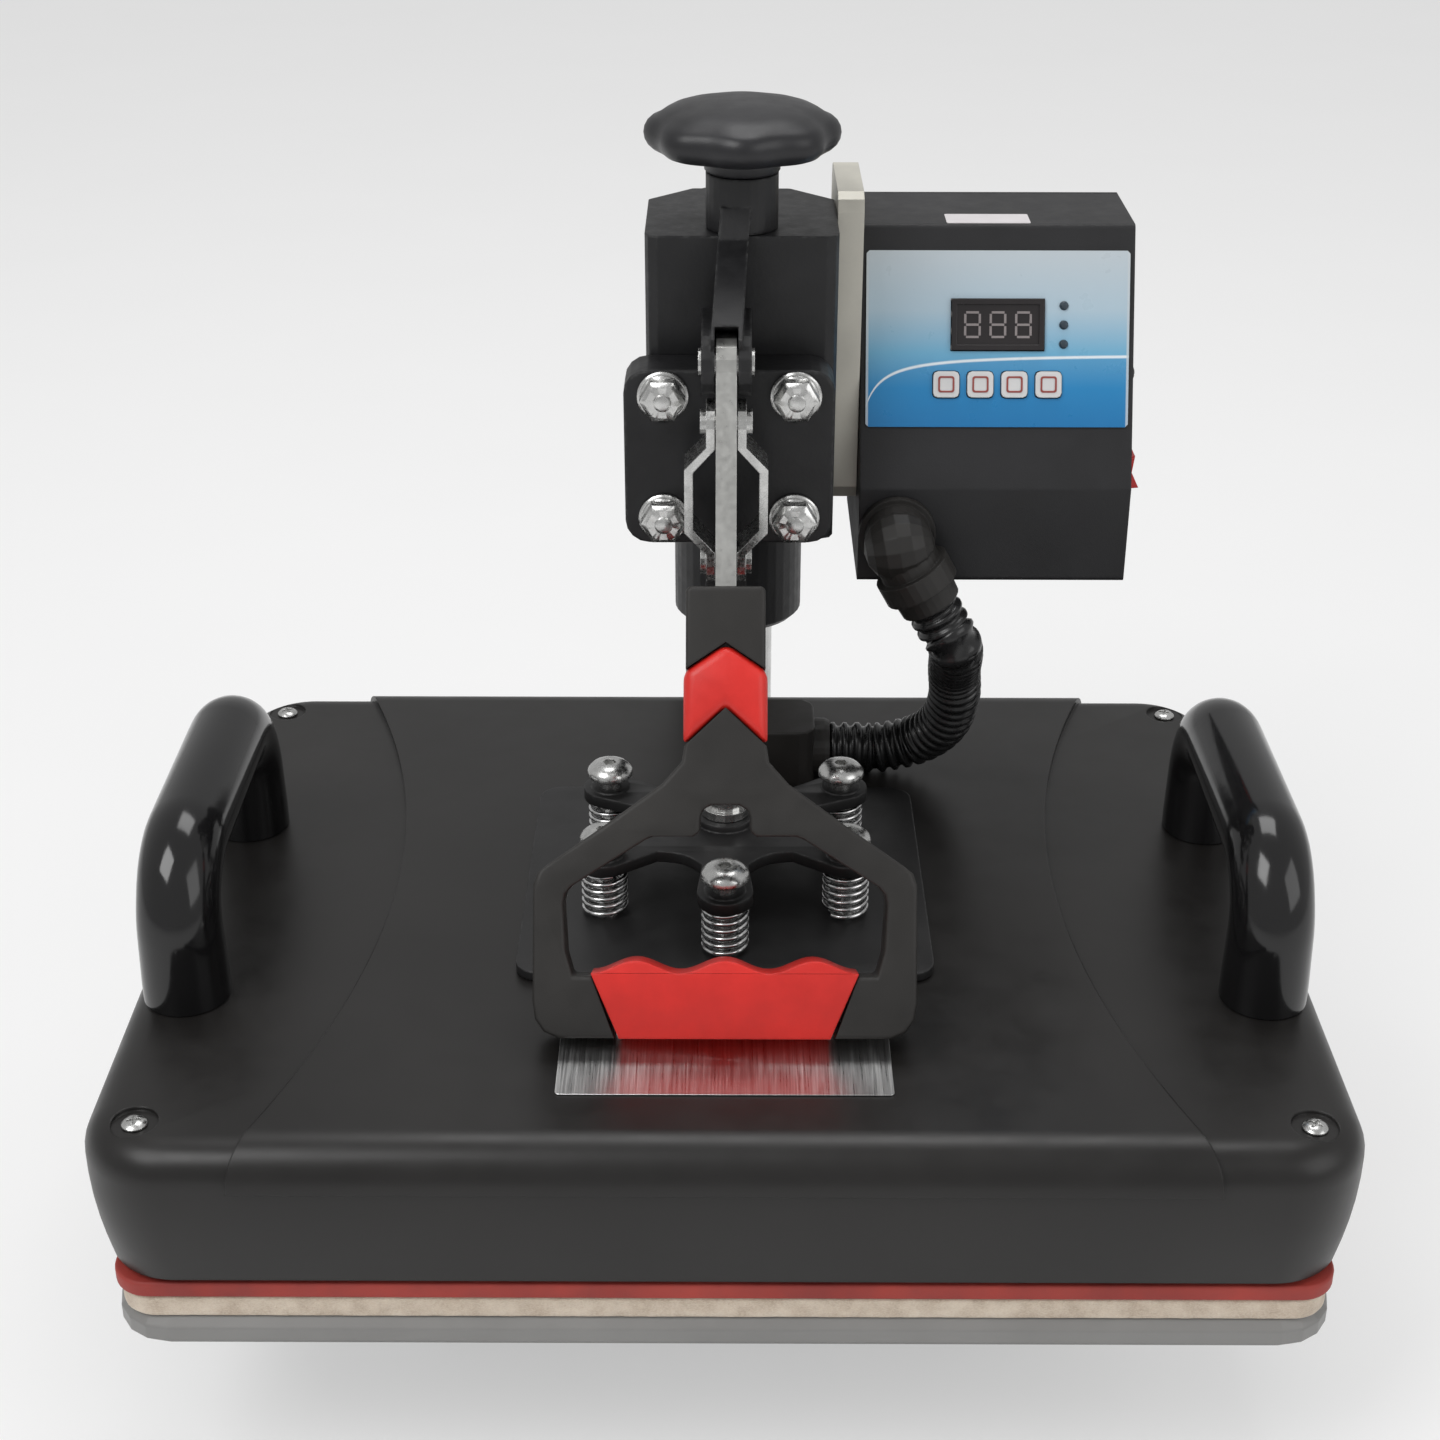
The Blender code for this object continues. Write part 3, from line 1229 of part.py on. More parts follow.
def make_rod_guide():
    low = GUIDE_TOP - GUIDE_HEIGHT
    body = rod("body", (0, 0, low), (0, 0, GUIDE_TOP), GUIDE_RADIUS, ROUND)
    seat = BLOCK_BOTTOM - GAP
    outline = [
        (0, low),
        (GUIDE_RADIUS, low),
        (BLOCK_BACK, GUIDE_TOP),
        (BLOCK_BACK, seat),
        (BLOCK_FRONT, seat),
        (BLOCK_FRONT, GUIDE_TOP + GUIDE_HEIGHT / 3),
        (GUIDE_RADIUS, GUIDE_TOP),
        (0, GUIDE_TOP),
    ]
    web = prism("web", [outline], GUIDE_WEB, "YZ", 0)
    bore = rod("bore", (0, 0, low - OVERRUN), (0, 0, GUIDE_TOP + OVERRUN), ROD_RADIUS + GAP)
    guide = cut(join(body, web), bore)
    finish(smooth(guide), "rod_guide", SATIN_BLACK, CARRIAGE)


def make_knob():
    centre = Vector((ARM_X, KNOB_Y, 0))

    def star(radius, height, lobe):
        points = []
        for index in range(KNOB_POINTS):
            turn = math.tau * index / KNOB_POINTS
            reach = radius + lobe * math.cos(KNOB_LOBES * turn)
            points.append(centre + Vector((reach * math.cos(turn), reach * math.sin(turn), height)))
        return points

    rim_top = KNOB_BOTTOM + KNOB_RIM_HEIGHT
    rim_shares = [(0.94, 0.0, 0.8), (1.0, 0.16, 1.0), (1.0, 0.82, 1.0), (0.955, 1.0, 1.0)]
    dome_shares = [(0.80, 0.45), (0.52, 0.82), (0.20, 1.0)]
    rings = [star(KNOB_HUB_RADIUS, KNOB_HUB_BOTTOM, 0), star(KNOB_HUB_RADIUS, KNOB_BOTTOM, 0)]
    for share, rise, lobe in rim_shares:
        rings.append(star(KNOB_RADIUS * share, KNOB_BOTTOM + KNOB_RIM_HEIGHT * rise,
                          KNOB_LOBE * lobe))
    for share, rise in dome_shares:
        rings.append(star(KNOB_RADIUS * share, rim_top + KNOB_DOME * rise, KNOB_LOBE * share / 2))
    knob = loft("knob", rings)
    socket = rod("socket", (ARM_X, KNOB_Y, KNOB_HUB_BOTTOM - OVERRUN),
                 (ARM_X, KNOB_Y, KNOB_BOTTOM + KNOB_SOCKET + GAP), SCREW_RADIUS + GAP)
    finish(smooth(cut(knob, socket)), "pressure_knob", MATTE_BLACK, KNOB_AXIS)
    screw = rod("screw", (ARM_X, KNOB_Y, SCREW_BOTTOM), (ARM_X, KNOB_Y, KNOB_BOTTOM + KNOB_SOCKET),
                SCREW_RADIUS)
    finish(smooth(screw), "pressure_screw", STEEL, KNOB_AXIS)


# Lever, links and press rod


def lever_matrix():
    """Places a flat outline on the lever: X stays, Y runs along the lever from the top pivot."""
    matrix = Matrix((Vector((1, 0, 0)), LEVER_OUT, Vector((1, 0, 0)).cross(LEVER_OUT))).transposed()
    matrix = matrix.to_4x4()
    matrix.translation = TOP_PIVOT
    return matrix


def lever_box(name, half, start, end, thick):
    obj = box(name, (-half, start, -thick / 2), (half, end, thick / 2))
    obj.data.transform(lever_matrix())
    return obj


def lever_side(along, face):
    """A point of the lever's side view as world Y and Z."""
    place = TOP_PIVOT + LEVER_OUT * along + LEVER_FACE * face
    return (place.y, place.z)


def make_lever_plate():
    pin_along = (LINK_PIVOT - TOP_PIVOT).dot(LEVER_OUT)
    pin_face = (LINK_PIVOT - TOP_PIVOT).dot(LEVER_FACE)
    half = LEVER_TANG_WIDTH / 2
    local = arc((0, 0), LEVER_TOP_RADIUS, 60, 250, 8)
    local += arc((pin_along, pin_face), LEVER_PIN_RADIUS, 235, 360, 6)
    local += [(pin_along + LEVER_PIN_RADIUS * 2, -half), (LEVER_TANG_END, -half),
              (LEVER_TANG_END, half)]
    outline = [lever_side(along, face) for along, face in local]
    plate = prism("plate", [outline], LEVER_PLATE_THICK, "YZ", 0)
    reach = LEVER_PLATE_THICK
    top_hole = rod("top_hole", (-reach, 0, TOP_PIVOT_Z), (reach, 0, TOP_PIVOT_Z),
                   TOP_PIN_RADIUS + GAP)
    pin_hole = rod("pin_hole", (-reach, 0, LINK_PIVOT_Z), (reach, 0, LINK_PIVOT_Z),
                   LINK_PIN_RADIUS + GAP)
    finish(smooth(cut(plate, top_hole, pin_hole)), "lever_plate", STEEL, LEVER_AXIS)
    pin = rod("pin", (-LINK_PIN_LENGTH / 2, 0, LINK_PIVOT_Z), (LINK_PIN_LENGTH / 2, 0, LINK_PIVOT_Z),
              LINK_PIN_RADIUS)
    finish(smooth(pin), "link_pin", STEEL, LEVER_AXIS)


def band_outline(grow, side):
    share = side / NECK_HALF
    high = BAND_APEX + (BAND_SIDE - BAND_APEX) * share
    low = BAND_INNER_APEX + (BAND_BOTTOM - BAND_INNER_APEX) * share
    return mirrored([
        (0, BAND_APEX - grow),
        (side, high - grow),
        (side, low + grow),
        (0, BAND_INNER_APEX + grow),
    ])


def grip_outline(grow):
    top = []
    count = GRIP_WAVES * 6
    half = GRIP_TOP_HALF + grow
    for index in range(count + 1):
        share = index / count
        wave = GRIP_WAVE * math.cos(math.tau * (GRIP_WAVES * share + 0.5))
        top.append((half - 2 * half * share, GRIP_TOP - wave - grow))
    bottom = LOOP_END + grow
    return top + [(-GRIP_BOTTOM_HALF - grow, bottom), (GRIP_BOTTOM_HALF + grow, bottom)]


def make_lever_handle():
    outer = mirrored([
        (NECK_HALF, NECK_START),
        (NECK_HALF, NECK_END),
        (NECK_FLARE_HALF, NECK_FLARE),
        (SHOULDER_HALF, SHOULDER),
        (SHOULDER_HALF, LOOP_END - LOOP_CORNER),
        (SHOULDER_HALF - LOOP_CORNER * 0.3, LOOP_END - LOOP_CORNER * 0.3),
        (SHOULDER_HALF - LOOP_CORNER, LOOP_END),
    ])
    inner = mirrored([
        (NOTCH_HALF, NOTCH_TOP),
        (NOTCH_HALF, OPENING_TOP),
        (OPENING_TOP_HALF, OPENING_TOP),
        (OPENING_HALF, OPENING_SHOULDER),
        (OPENING_HALF, OPENING_BOTTOM),
    ])
    frame = prism("frame", [outer, inner], HANDLE_THICK, matrix=lever_matrix())
    frame = mesh_of(bevel(frame, LOOP_EDGE, 2))

    thick = HANDLE_THICK + OVERRUN * 2
    band_cut = prism("band_cut", [band_outline(GAP, NECK_HALF + OVERRUN)], thick,
                     matrix=lever_matrix())
    grip_half_cut = grip_outline(GAP)
    grip_cut = prism("grip_cut", [[(x, y + (OVERRUN if y > LOOP_END else 0))
                                   for x, y in grip_half_cut]], thick, matrix=lever_matrix())
    frame = cut(frame, band_cut, grip_cut)
    band_core = lever_box("band_core", BAND_CORE_HALF, LEVER_TANG_END + GAP * 2,
                          BAND_BOTTOM + OVERRUN, BAND_CORE_THICK)
    core_middle = (GRIP_TOP + GRIP_WAVE + LOOP_END) / 2
    core_low = core_middle - GRIP_CORE_WIDTH / 2
    core_high = core_middle + GRIP_CORE_WIDTH / 2
    grip_core = lever_box("grip_core", GRIP_TOP_HALF + OVERRUN, core_low, core_high,
                          GRIP_CORE_THICK)
    frame = join(frame, band_core, grip_core)
    tang_way = lever_box("tang_way", LEVER_PLATE_THICK / 2 + GAP, NECK_START - OVERRUN,
                         LEVER_TANG_END + GAP, LEVER_TANG_WIDTH + GAP * 2)
    frame = cut(frame, tang_way)
    finish(smooth(frame), "lever_handle", MATTE_BLACK, LEVER_AXIS)

    band = prism("band", [band_outline(0, NECK_HALF + BAND_PROUD)], HANDLE_THICK + BAND_PROUD * 2,
                 matrix=lever_matrix())
    band_bore = lever_box("band_bore", BAND_CORE_HALF + GAP, BAND_APEX - OVERRUN,
                          BAND_BOTTOM + OVERRUN * 2, BAND_CORE_THICK + GAP * 2)
    finish(smooth(cut(band, band_bore)), "chevron_band", RED_PLASTIC, LEVER_AXIS)

    grip = prism("grip", [grip_outline(0)], HANDLE_THICK + GRIP_PROUD * 2, matrix=lever_matrix())
    grip = mesh_of(bevel(grip, GRIP_EDGE, 1, math.radians(50)))
    grip_bore = lever_box("grip_bore", GRIP_TOP_HALF + OVERRUN * 2, core_low - GAP,
                          core_high + GAP, GRIP_CORE_THICK + GAP * 2)
    finish(smooth(cut(grip, grip_bore)), "finger_grip", RED_PLASTIC, LEVER_AXIS)


def link_strip(side):
    """One bowed side link, seen from the front as a strip of even thickness."""
    inner = LEVER_PLATE_THICK / 2 + LINK_SIDE
    eye = LINK_WIDTH / 2
    high = LINK_PIVOT_Z + eye
    low = LUG_PIVOT_Z - eye
    bow_top = LINK_PIVOT_Z - LINK_BOW_TOP
    bow_bottom = LUG_PIVOT_Z + LINK_BOW_BOTTOM
    path = [
        (inner, high),
        (inner, bow_top + LINK_SHOULDER),
        (LINK_BOW - LINK_THICK, bow_top),
        (LINK_BOW - LINK_THICK, bow_bottom),
        (inner, bow_bottom - LINK_SHOULDER),
        (inner, low),
    ]
    outer = [
        (inner + LINK_THICK, low),
        (inner + LINK_THICK, bow_bottom - LINK_SHOULDER - LINK_THICK * 0.2),
        (LINK_BOW, bow_bottom - LINK_THICK * 0.35),
        (LINK_BOW, bow_top + LINK_THICK * 0.35),
        (inner + LINK_THICK, bow_top + LINK_SHOULDER + LINK_THICK * 0.2),
        (inner + LINK_THICK, high),
    ]
    strip = prism("strip", [[(x * side, z) for x, z in path + outer]], LINK_WIDTH, "XZ", 0)
    outline = arc((0, LINK_PIVOT_Z), eye, 0, 180, 8) + arc((0, LUG_PIVOT_Z), eye, 180, 360, 8)
    capsule = prism("capsule", [outline], LINK_BOW * 4, "YZ", 0)
    return keep_common(strip, capsule)


def make_links():
    for name, side in (("link_left", -1), ("link_right", 1)):
        strip = link_strip(side)
        inner = LEVER_PLATE_THICK / 2 + LINK_SIDE
        outer = inner + LINK_THICK
        pin_way = rod("pin_way", (side * (inner - OVERRUN), 0, LINK_PIVOT_Z),
                      (side * (outer + OVERRUN), 0, LINK_PIVOT_Z), LINK_PIN_RADIUS + GAP)
        strip = cut(strip, pin_way)
        rivet = rod("rivet", (side * (inner + LINK_THICK / 2), 0, LUG_PIVOT_Z),
                    (side * (outer + LINK_RIVET_HEAD), 0, LUG_PIVOT_Z), LINK_RIVET_RADIUS)
        finish(smooth(join(strip, rivet)), name, STEEL, LINK_AXIS)


def make_press_rod():
    collar_low = SPIDER_TOP + SPIDER_HUB_RISE + GAP
    lug_low = LUG_PIVOT_Z - LUG_LENGTH
    profile = [
        (0, lug_low),
        (ROD_RADIUS, lug_low),
        (ROD_RADIUS, collar_low + ROD_COLLAR_THICK),
        (ROD_COLLAR_RADIUS, collar_low + ROD_COLLAR_THICK),
        (ROD_COLLAR_RADIUS, collar_low),
        (ROD_RADIUS, collar_low),
        (ROD_RADIUS, SPIDER_BOTTOM),
        (0, SPIDER_BOTTOM),
    ]
    bar = turned("bar", profile, steps=SMALL_ROUND)
    outline = arc((0, LUG_PIVOT_Z), LUG_EYE_RADIUS, 0, 180, 8)
    shoulder = lug_low + ROD_RADIUS / 2
    root = lug_low - ROD_RADIUS
    outline += [(-ROD_RADIUS, shoulder), (-LUG_ROOT_HALF, shoulder - ROD_RADIUS / 4),
                (-LUG_ROOT_HALF, root), (LUG_ROOT_HALF, root),
                (LUG_ROOT_HALF, shoulder - ROD_RADIUS / 4), (ROD_RADIUS, shoulder)]
    lug = prism("lug", [outline], LUG_THICK, "YZ", 0)
    hole = rod("hole", (-LUG_THICK, 0, LUG_PIVOT_Z), (LUG_THICK, 0, LUG_PIVOT_Z),
               LINK_PIN_RADIUS + GAP)
    finish(smooth(cut(join(bar, lug), hole)), "press_rod", STEEL, PUSHER_AXIS)


def stud_places():
    places = []
    for index in range(STUD_COUNT):
        turn = math.tau * index / STUD_COUNT + math.pi / 2
        places.append((STUD_CIRCLE * math.cos(turn), STUD_CIRCLE * math.sin(turn)))
    return places


def spider_outline():
    """Six round lobes joined by hollow curves."""
    outline = []
    half_step = math.pi / STUD_COUNT
    for index in range(STUD_COUNT):
        turn = math.tau * index / STUD_COUNT + math.pi / 2
        degrees = math.degrees(turn)
        centre = (STUD_CIRCLE * math.cos(turn), STUD_CIRCLE * math.sin(turn))
        outline += arc(centre, SPIDER_LOBE_RADIUS, degrees - 85, degrees + 85, 8)
        for share in (0.30, 0.50, 0.70):
            away = abs(share - 0.5) / 0.5
            reach = SPIDER_WAIST_RADIUS + (STUD_CIRCLE - SPIDER_WAIST_RADIUS) * away ** 2 * 0.7
            between = turn + half_step * 2 * share
            outline.append((reach * math.cos(between), reach * math.sin(between)))
    return outline


def make_spider():
    middle = (SPIDER_BOTTOM + SPIDER_TOP) / 2
    plate = prism("spider", [spider_outline()], SPIDER_THICK, "XY", middle)
    hub_top = SPIDER_TOP + SPIDER_HUB_RISE
    hub = rod("hub", (0, 0, SPIDER_BOTTOM + SPIDER_THICK / 2), (0, 0, hub_top), SPIDER_HUB_RADIUS)
    plate = join(plate, hub)
    low = SPIDER_BOTTOM - OVERRUN
    high = hub_top + OVERRUN
    tools = [rod("rod_way", (0, 0, low), (0, 0, high), ROD_RADIUS + GAP)]
    for x, y in stud_places():
        tools.append(rod("stud_way", (x, y, low), (x, y, high), STUD_RADIUS + GAP, STUD_STEPS))
    finish(smooth(cut(plate, *tools)), "spider_plate", SATIN_BLACK, PUSHER_AXIS)


# Heat platen, cover and what stands on it


def cover_ring(inset, height):
    outline = rounded_rectangle(COVER_WIDTH / 2 - inset, COVER_DEPTH / 2 - inset,
                                COVER_CORNER - inset, ARC_STEPS + 1)
    return at_height(outline, height)


def cover_skin(grow):
    """The cover's outside, moved out by grow: drafted sides and a round top edge."""
    rings = [
        cover_ring(COVER_DRAFT - grow, COVER_BOTTOM),
        cover_ring(COVER_DRAFT * 0.4 - grow, COVER_BOTTOM + COVER_DRAFT_HEIGHT * 0.4),
        cover_ring(-grow, COVER_BOTTOM + COVER_DRAFT_HEIGHT),
    ]
    radius = COVER_TOP_ROUND
    start = COVER_TOP - radius
    steps = ARC_STEPS
    for index in range(steps + 1):
        turn = math.pi / 2 * index / steps
        inset = radius * (1 - math.cos(turn)) - grow * math.cos(turn)
        rings.append(cover_ring(inset, start + (radius + grow) * math.sin(turn)))
    return loft("cover_skin", rings)


def panel_edge(side, steps=10):
    """The raised panel's hollow side edge, from the front to the back."""
    reach = COVER_DEPTH / 2 + OVERRUN
    points = []
    for index in range(steps + 1):
        share = 2 * index / steps - 1
        half = PANEL_WAIST_HALF + (PANEL_END_HALF - PANEL_WAIST_HALF) * share ** 2
        points.append((side * half, reach * share))
    return points


def make_cover():
    cover = cover_skin(0)
    raised = cover_skin(PANEL_RISE)
    outline = panel_edge(1) + list(reversed(panel_edge(-1)))
    zone_low = COVER_TOP - COVER_TOP_ROUND
    zone_high = PANEL_TOP + OVERRUN
    zone = prism("zone", [outline], zone_high - zone_low, "XY", (zone_high + zone_low) / 2)
    raised = keep_common(raised, zone)
    cover = join(cover, raised)
    roof = COVER_TOP - COVER_WALL
    inner = rounded_rectangle(COVER_WIDTH / 2 - COVER_DRAFT - COVER_WALL,
                              COVER_DEPTH / 2 - COVER_DRAFT - COVER_WALL,
                              COVER_CORNER - COVER_DRAFT - COVER_WALL)
    inner_top = rounded_rectangle(COVER_WIDTH / 2 - COVER_TOP_ROUND, COVER_DEPTH / 2 - COVER_TOP_ROUND,
                                  COVER_CORNER - COVER_TOP_ROUND)
    hollow = loft("hollow", [
        at_height(inner, COVER_BOTTOM - OVERRUN),
        at_height(inner, COVER_TOP - COVER_TOP_ROUND),
        at_height(inner_top, roof),
    ])
    tools = [hollow]
    bosses = []
    for x in (-COVER_SCREW_X, COVER_SCREW_X):
        for y in (-COVER_SCREW_Y, COVER_SCREW_Y):
            tools.append(rod("recess", (x, y, COVER_TOP - COVER_SCREW_RECESS_DEPTH),
                             (x, y, COVER_TOP + OVERRUN), COVER_SCREW_RECESS_RADIUS))
            bosses.append(rod("boss", (x, y, PLATEN_TOP + GAP), (x, y, roof + COVER_WALL / 3),
                              COVER_BOSS_RADIUS))
    cover = join(cut(cover, *tools), *bosses)
    finish(smooth(cover), "platen_cover", SATIN_BLACK, PLATEN_AXIS)


def make_heat_platen():
    outline = rounded_rectangle(PLATEN_WIDTH / 2, PLATEN_DEPTH / 2, PLATEN_CORNER)
    platen = loft("platen", [at_height(outline, PLATEN_BOTTOM), at_height(outline, PLATEN_TOP)])
    finish(smooth(platen), "heat_platen", ALUMINIUM, PLATEN_AXIS)


def make_side_handles():
    low = COVER_TOP + GAP
    for name, side in (("side_handle_left", -1), ("side_handle_right", 1)):
        x = side * HANDLE_X
        path = [(HANDLE_FRONT, low)]
        path += arc((HANDLE_FRONT + HANDLE_BEND, HANDLE_AXIS - HANDLE_BEND), HANDLE_BEND, 180, 90, 5)
        path += arc((HANDLE_BACK - HANDLE_BEND, HANDLE_AXIS - HANDLE_BEND), HANDLE_BEND, 90, 0, 5)
        path += [(HANDLE_BACK, low)]
        leg = HANDLE_LEG_RADIUS / HANDLE_RADIUS
        radii = [leg] * 3 + [1.0] * (len(path) - 6) + [leg] * 3
        bow = mesh_of(tube_curve(name, [(x, y, z) for y, z in path], HANDLE_RADIUS, 6, radii))
        foot_reach = HANDLE_LEG_RADIUS * 2
        trim = box("trim", (x - foot_reach, HANDLE_FRONT - foot_reach, low - foot_reach),
                   (x + foot_reach, HANDLE_BACK + foot_reach, low))
        finish(smooth(cut(bow, trim)), name, GLOSS_BLACK, PLATEN_AXIS)


def make_spring_plate():
    low = PANEL_TOP + GAP
    outline = rounded_rectangle(SPRING_PLATE_WIDTH / 2, SPRING_PLATE_DEPTH / 2, SPRING_PLATE_CORNER)
    plate = prism("plate", [outline], SPRING_PLATE_THICK, "XY", low + SPRING_PLATE_THICK / 2)
    plate = mesh_of(bevel(plate, SPRING_PLATE_THICK / 4, 1))
    studs = []
    rim_top = STUD_HEAD_BOTTOM + STUD_HEAD_RIM
    top = rim_top + STUD_HEAD_DOME
    profile = [
        (0, top),
        (STUD_HEAD_RADIUS * 0.70, rim_top + STUD_HEAD_DOME * 0.62),
        (STUD_HEAD_RADIUS, rim_top),
        (STUD_HEAD_RADIUS, STUD_HEAD_BOTTOM),
        (STUD_RADIUS, STUD_HEAD_BOTTOM),
        (STUD_RADIUS, low + SPRING_PLATE_THICK / 2),
        (0, low + SPRING_PLATE_THICK / 2),
    ]
    for x, y in stud_places():
        studs.append(turned("stud", profile, (x, y, 0), steps=STUD_STEPS))
    finish(smooth(join(plate, *studs)), "spring_plate", SATIN_BLACK, PLATEN_AXIS)


def make_springs():
    """Each spring is one unbroken wire with open ends, and its least gap to itself is printed."""
    per_turn = 9
    count = int(COIL_TURNS * per_turn) + 1
    rise = COIL_TOP - COIL_BOTTOM
    for number, (x, y) in enumerate(stud_places()):
        points = []
        for index in range(count):
            share = index / (count - 1)
            turn = math.tau * COIL_TURNS * share + number
            points.append(Vector((x + COIL_RADIUS * math.cos(turn), y + COIL_RADIUS * math.sin(turn),
                                  COIL_BOTTOM + rise * share)))
        name = "spring_" + str(number + 1)
        finish(tube_curve(name, points, COIL_WIRE_RADIUS, 1), name, SPRING_STEEL, PLATEN_AXIS)
    least = min((first - second).length for index, first in enumerate(points)
                for second in points[index + per_turn - 3:])
    print("least gap of a spring to itself in mm:", round((least - COIL_WIRE_RADIUS * 2) * 1000, 2))


# Hose


def smooth_path(points, per_span):
    """A smooth curve through the points, read at even shares of each span."""
    ends = [points[0] * 2 - points[1]] + points + [points[-1] * 2 - points[-2]]
    result = []
    for index in range(1, len(ends) - 2):
        a, b, c, d = ends[index - 1:index + 3]
        for step in range(per_span):
            t = step / per_span
            result.append(0.5 * (2 * b + (c - a) * t + (2 * a - 5 * b + 4 * c - d) * t ** 2
                                 + (3 * b - a - 3 * c + d) * t ** 3))
    result.append(points[-1])
    return result


def even_points(path, spacing):
    """Points along a path at about an even spacing, with both ends kept."""
    lengths = [0.0]
    for first, second in zip(path, path[1:]):
        lengths.append(lengths[-1] + (second - first).length)
    count = max(2, round(lengths[-1] / spacing))
    result = []
    place = 0
    for index in range(count + 1):
        goal = lengths[-1] * index / count
        while place < len(lengths) - 2 and lengths[place + 1] < goal:
            place += 1
        span = lengths[place + 1] - lengths[place]
        share = (goal - lengths[place]) / span
        result.append(path[place].lerp(path[place + 1], share))
    return result


def hose_route():
    """The hose's own line: straight out of the elbow, down to the cover and into the outlet."""
    start = ELBOW_CENTRE + ELBOW_AXIS * (ELBOW_SLEEVE + GAP)
    end = Vector((OUTLET_X + OUTLET_COLLAR + GAP, OUTLET_Y, OUTLET_Z))
    straight = HOSE_RADIUS * 2
    return [
        start,
        start + ELBOW_AXIS * straight / 2,
        start + ELBOW_AXIS * straight,
        Vector((0.0835, 0.0520, 0.2040)),
        Vector((0.0850, 0.0620, 0.1880)),
        Vector((0.0825, 0.0720, 0.1720)),
        Vector((0.0740, 0.0810, 0.1600)),
        end + Vector((straight, 0, 0)),
        end + Vector((straight / 2, 0, 0)),
        end,
    ]


def make_hose():
    route = smooth_path(hose_route(), 10)
    centres = even_points(route, HOSE_RIB_PITCH / 2)
    low = HOSE_ROOT_RADIUS / HOSE_RADIUS
    radii = [1.0 if index % 2 else low for index in range(len(centres))]
    skin = mesh_of(tube_curve("hose", centres, HOSE_RADIUS, 2, radii))
    first = route[0] - (route[1] - route[0]).normalized() * OVERRUN
    last = route[-1] + (route[-1] - route[-2]).normalized() * OVERRUN
    bore_line = [first] + even_points(route, HOSE_RIB_PITCH * 2) + [last]
    bore = mesh_of(tube_curve("bore", bore_line, HOSE_BORE_RADIUS, 2))
    finish(smooth(cut(skin, bore)), "hose", MATTE_BLACK, CARRIAGE)


def make_elbow():
    face = BOX_FRONT - GAP
    flange_start = Vector((ELBOW_X, face, ELBOW_Z))
    flange = rod("flange", flange_start - Vector((0, ELBOW_FLANGE_THICK, 0)), flange_start,
                 ELBOW_FLANGE_RADIUS, ROUND)
    overlap = ELBOW_RADIUS / 4
    neck_end = flange_start - Vector((0, ELBOW_FLANGE_THICK / 2, 0))
    neck = rod("neck", ELBOW_CENTRE - Vector((0, overlap, 0)), neck_end, ELBOW_RADIUS, ROUND)
    ball = arc((0, 0), ELBOW_RADIUS * 1.08, 90, -90, SMALL_ROUND // 2)
    knuckle = turned("knuckle", [(max(0, a), b) for a, b in ball], ELBOW_CENTRE, (1, 0, 0.2), ROUND // 2)
    far = ELBOW_COLLAR_START + ELBOW_COLLAR_LENGTH
    mouth = HOSE_RADIUS * 1.12
    profile = [
        (0, ELBOW_SLEEVE),
        (mouth, ELBOW_SLEEVE),
        (mouth * 1.04, far),
        (ELBOW_COLLAR_RADIUS, far),
        (ELBOW_COLLAR_RADIUS, ELBOW_COLLAR_START),
        (ELBOW_RADIUS * 0.96, ELBOW_COLLAR_START),
        (ELBOW_RADIUS * 0.96, -overlap),
        (0, -overlap),
    ]
    sleeve = turned("sleeve", profile, ELBOW_CENTRE, ELBOW_AXIS)
    elbow = join(flange, neck, knuckle, sleeve)
    finish(smooth(elbow), "hose_elbow", MATTE_BLACK, ARM_AXIS)


def make_outlet():
    low = COVER_TOP + GAP
    raised = PANEL_TOP + GAP
    left = OUTLET_X - OUTLET_WIDTH
    outline = rounded(rectangle(left, OUTLET_X, OUTLET_Y - OUTLET_DEPTH / 2,
                                OUTLET_Y + OUTLET_DEPTH / 2), OUTLET_CORNER, 3)
    top = low + OUTLET_HEIGHT
    block = prism("block", [outline], top - raised, "XY", (top + raised) / 2)
    block = mesh_of(bevel(block, OUTLET_CORNER / 3, 2))
    profile = [
        (0, OUTLET_COLLAR),
        (OUTLET_COLLAR_RADIUS * 0.92, OUTLET_COLLAR),
        (OUTLET_COLLAR_RADIUS, OUTLET_COLLAR * 0.7),
        (OUTLET_COLLAR_RADIUS, -OUTLET_COLLAR / 2),
        (0, -OUTLET_COLLAR / 2),
    ]
    collar = turned("collar", profile, (OUTLET_X, OUTLET_Y, OUTLET_Z), (1, 0, 0))
    trim = box("trim", (left, OUTLET_Y - OUTLET_DEPTH, low - OUTLET_HEIGHT),
               (OUTLET_X + OUTLET_COLLAR * 2, OUTLET_Y + OUTLET_DEPTH, raised + GAP))
    outlet = join(block, cut(collar, trim))
    finish(smooth(outlet), "hose_outlet", MATTE_BLACK, PLATEN_AXIS)


def main():
    make_base()
    make_pedestal()
    make_lower_platen()
    make_column()
    make_arm()
    make_head()
    make_clamp_bolts()
    make_control_box()
    make_panel()
    make_rocker()
    make_inlet()
    make_bracket()
    make_rod_guide()
    make_knob()
    make_lever_plate()
    make_lever_handle()
    make_links()
    make_press_rod()
    make_spider()
    make_cover()
    make_heat_platen()
    make_side_handles()
    make_spring_plate()
    make_springs()
    make_hose()
    make_elbow()
    make_outlet()
    for tool in list(CUTTERS.objects):
        bpy.data.objects.remove(tool, do_unlink=True)
    MACHINE.location = (0, -MACHINE_MIDDLE, 0)


main()
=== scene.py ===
"""The dressed combo heat press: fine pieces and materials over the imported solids."""
import math

import bmesh
import bpy
from mathutils import Matrix, Vector, noise


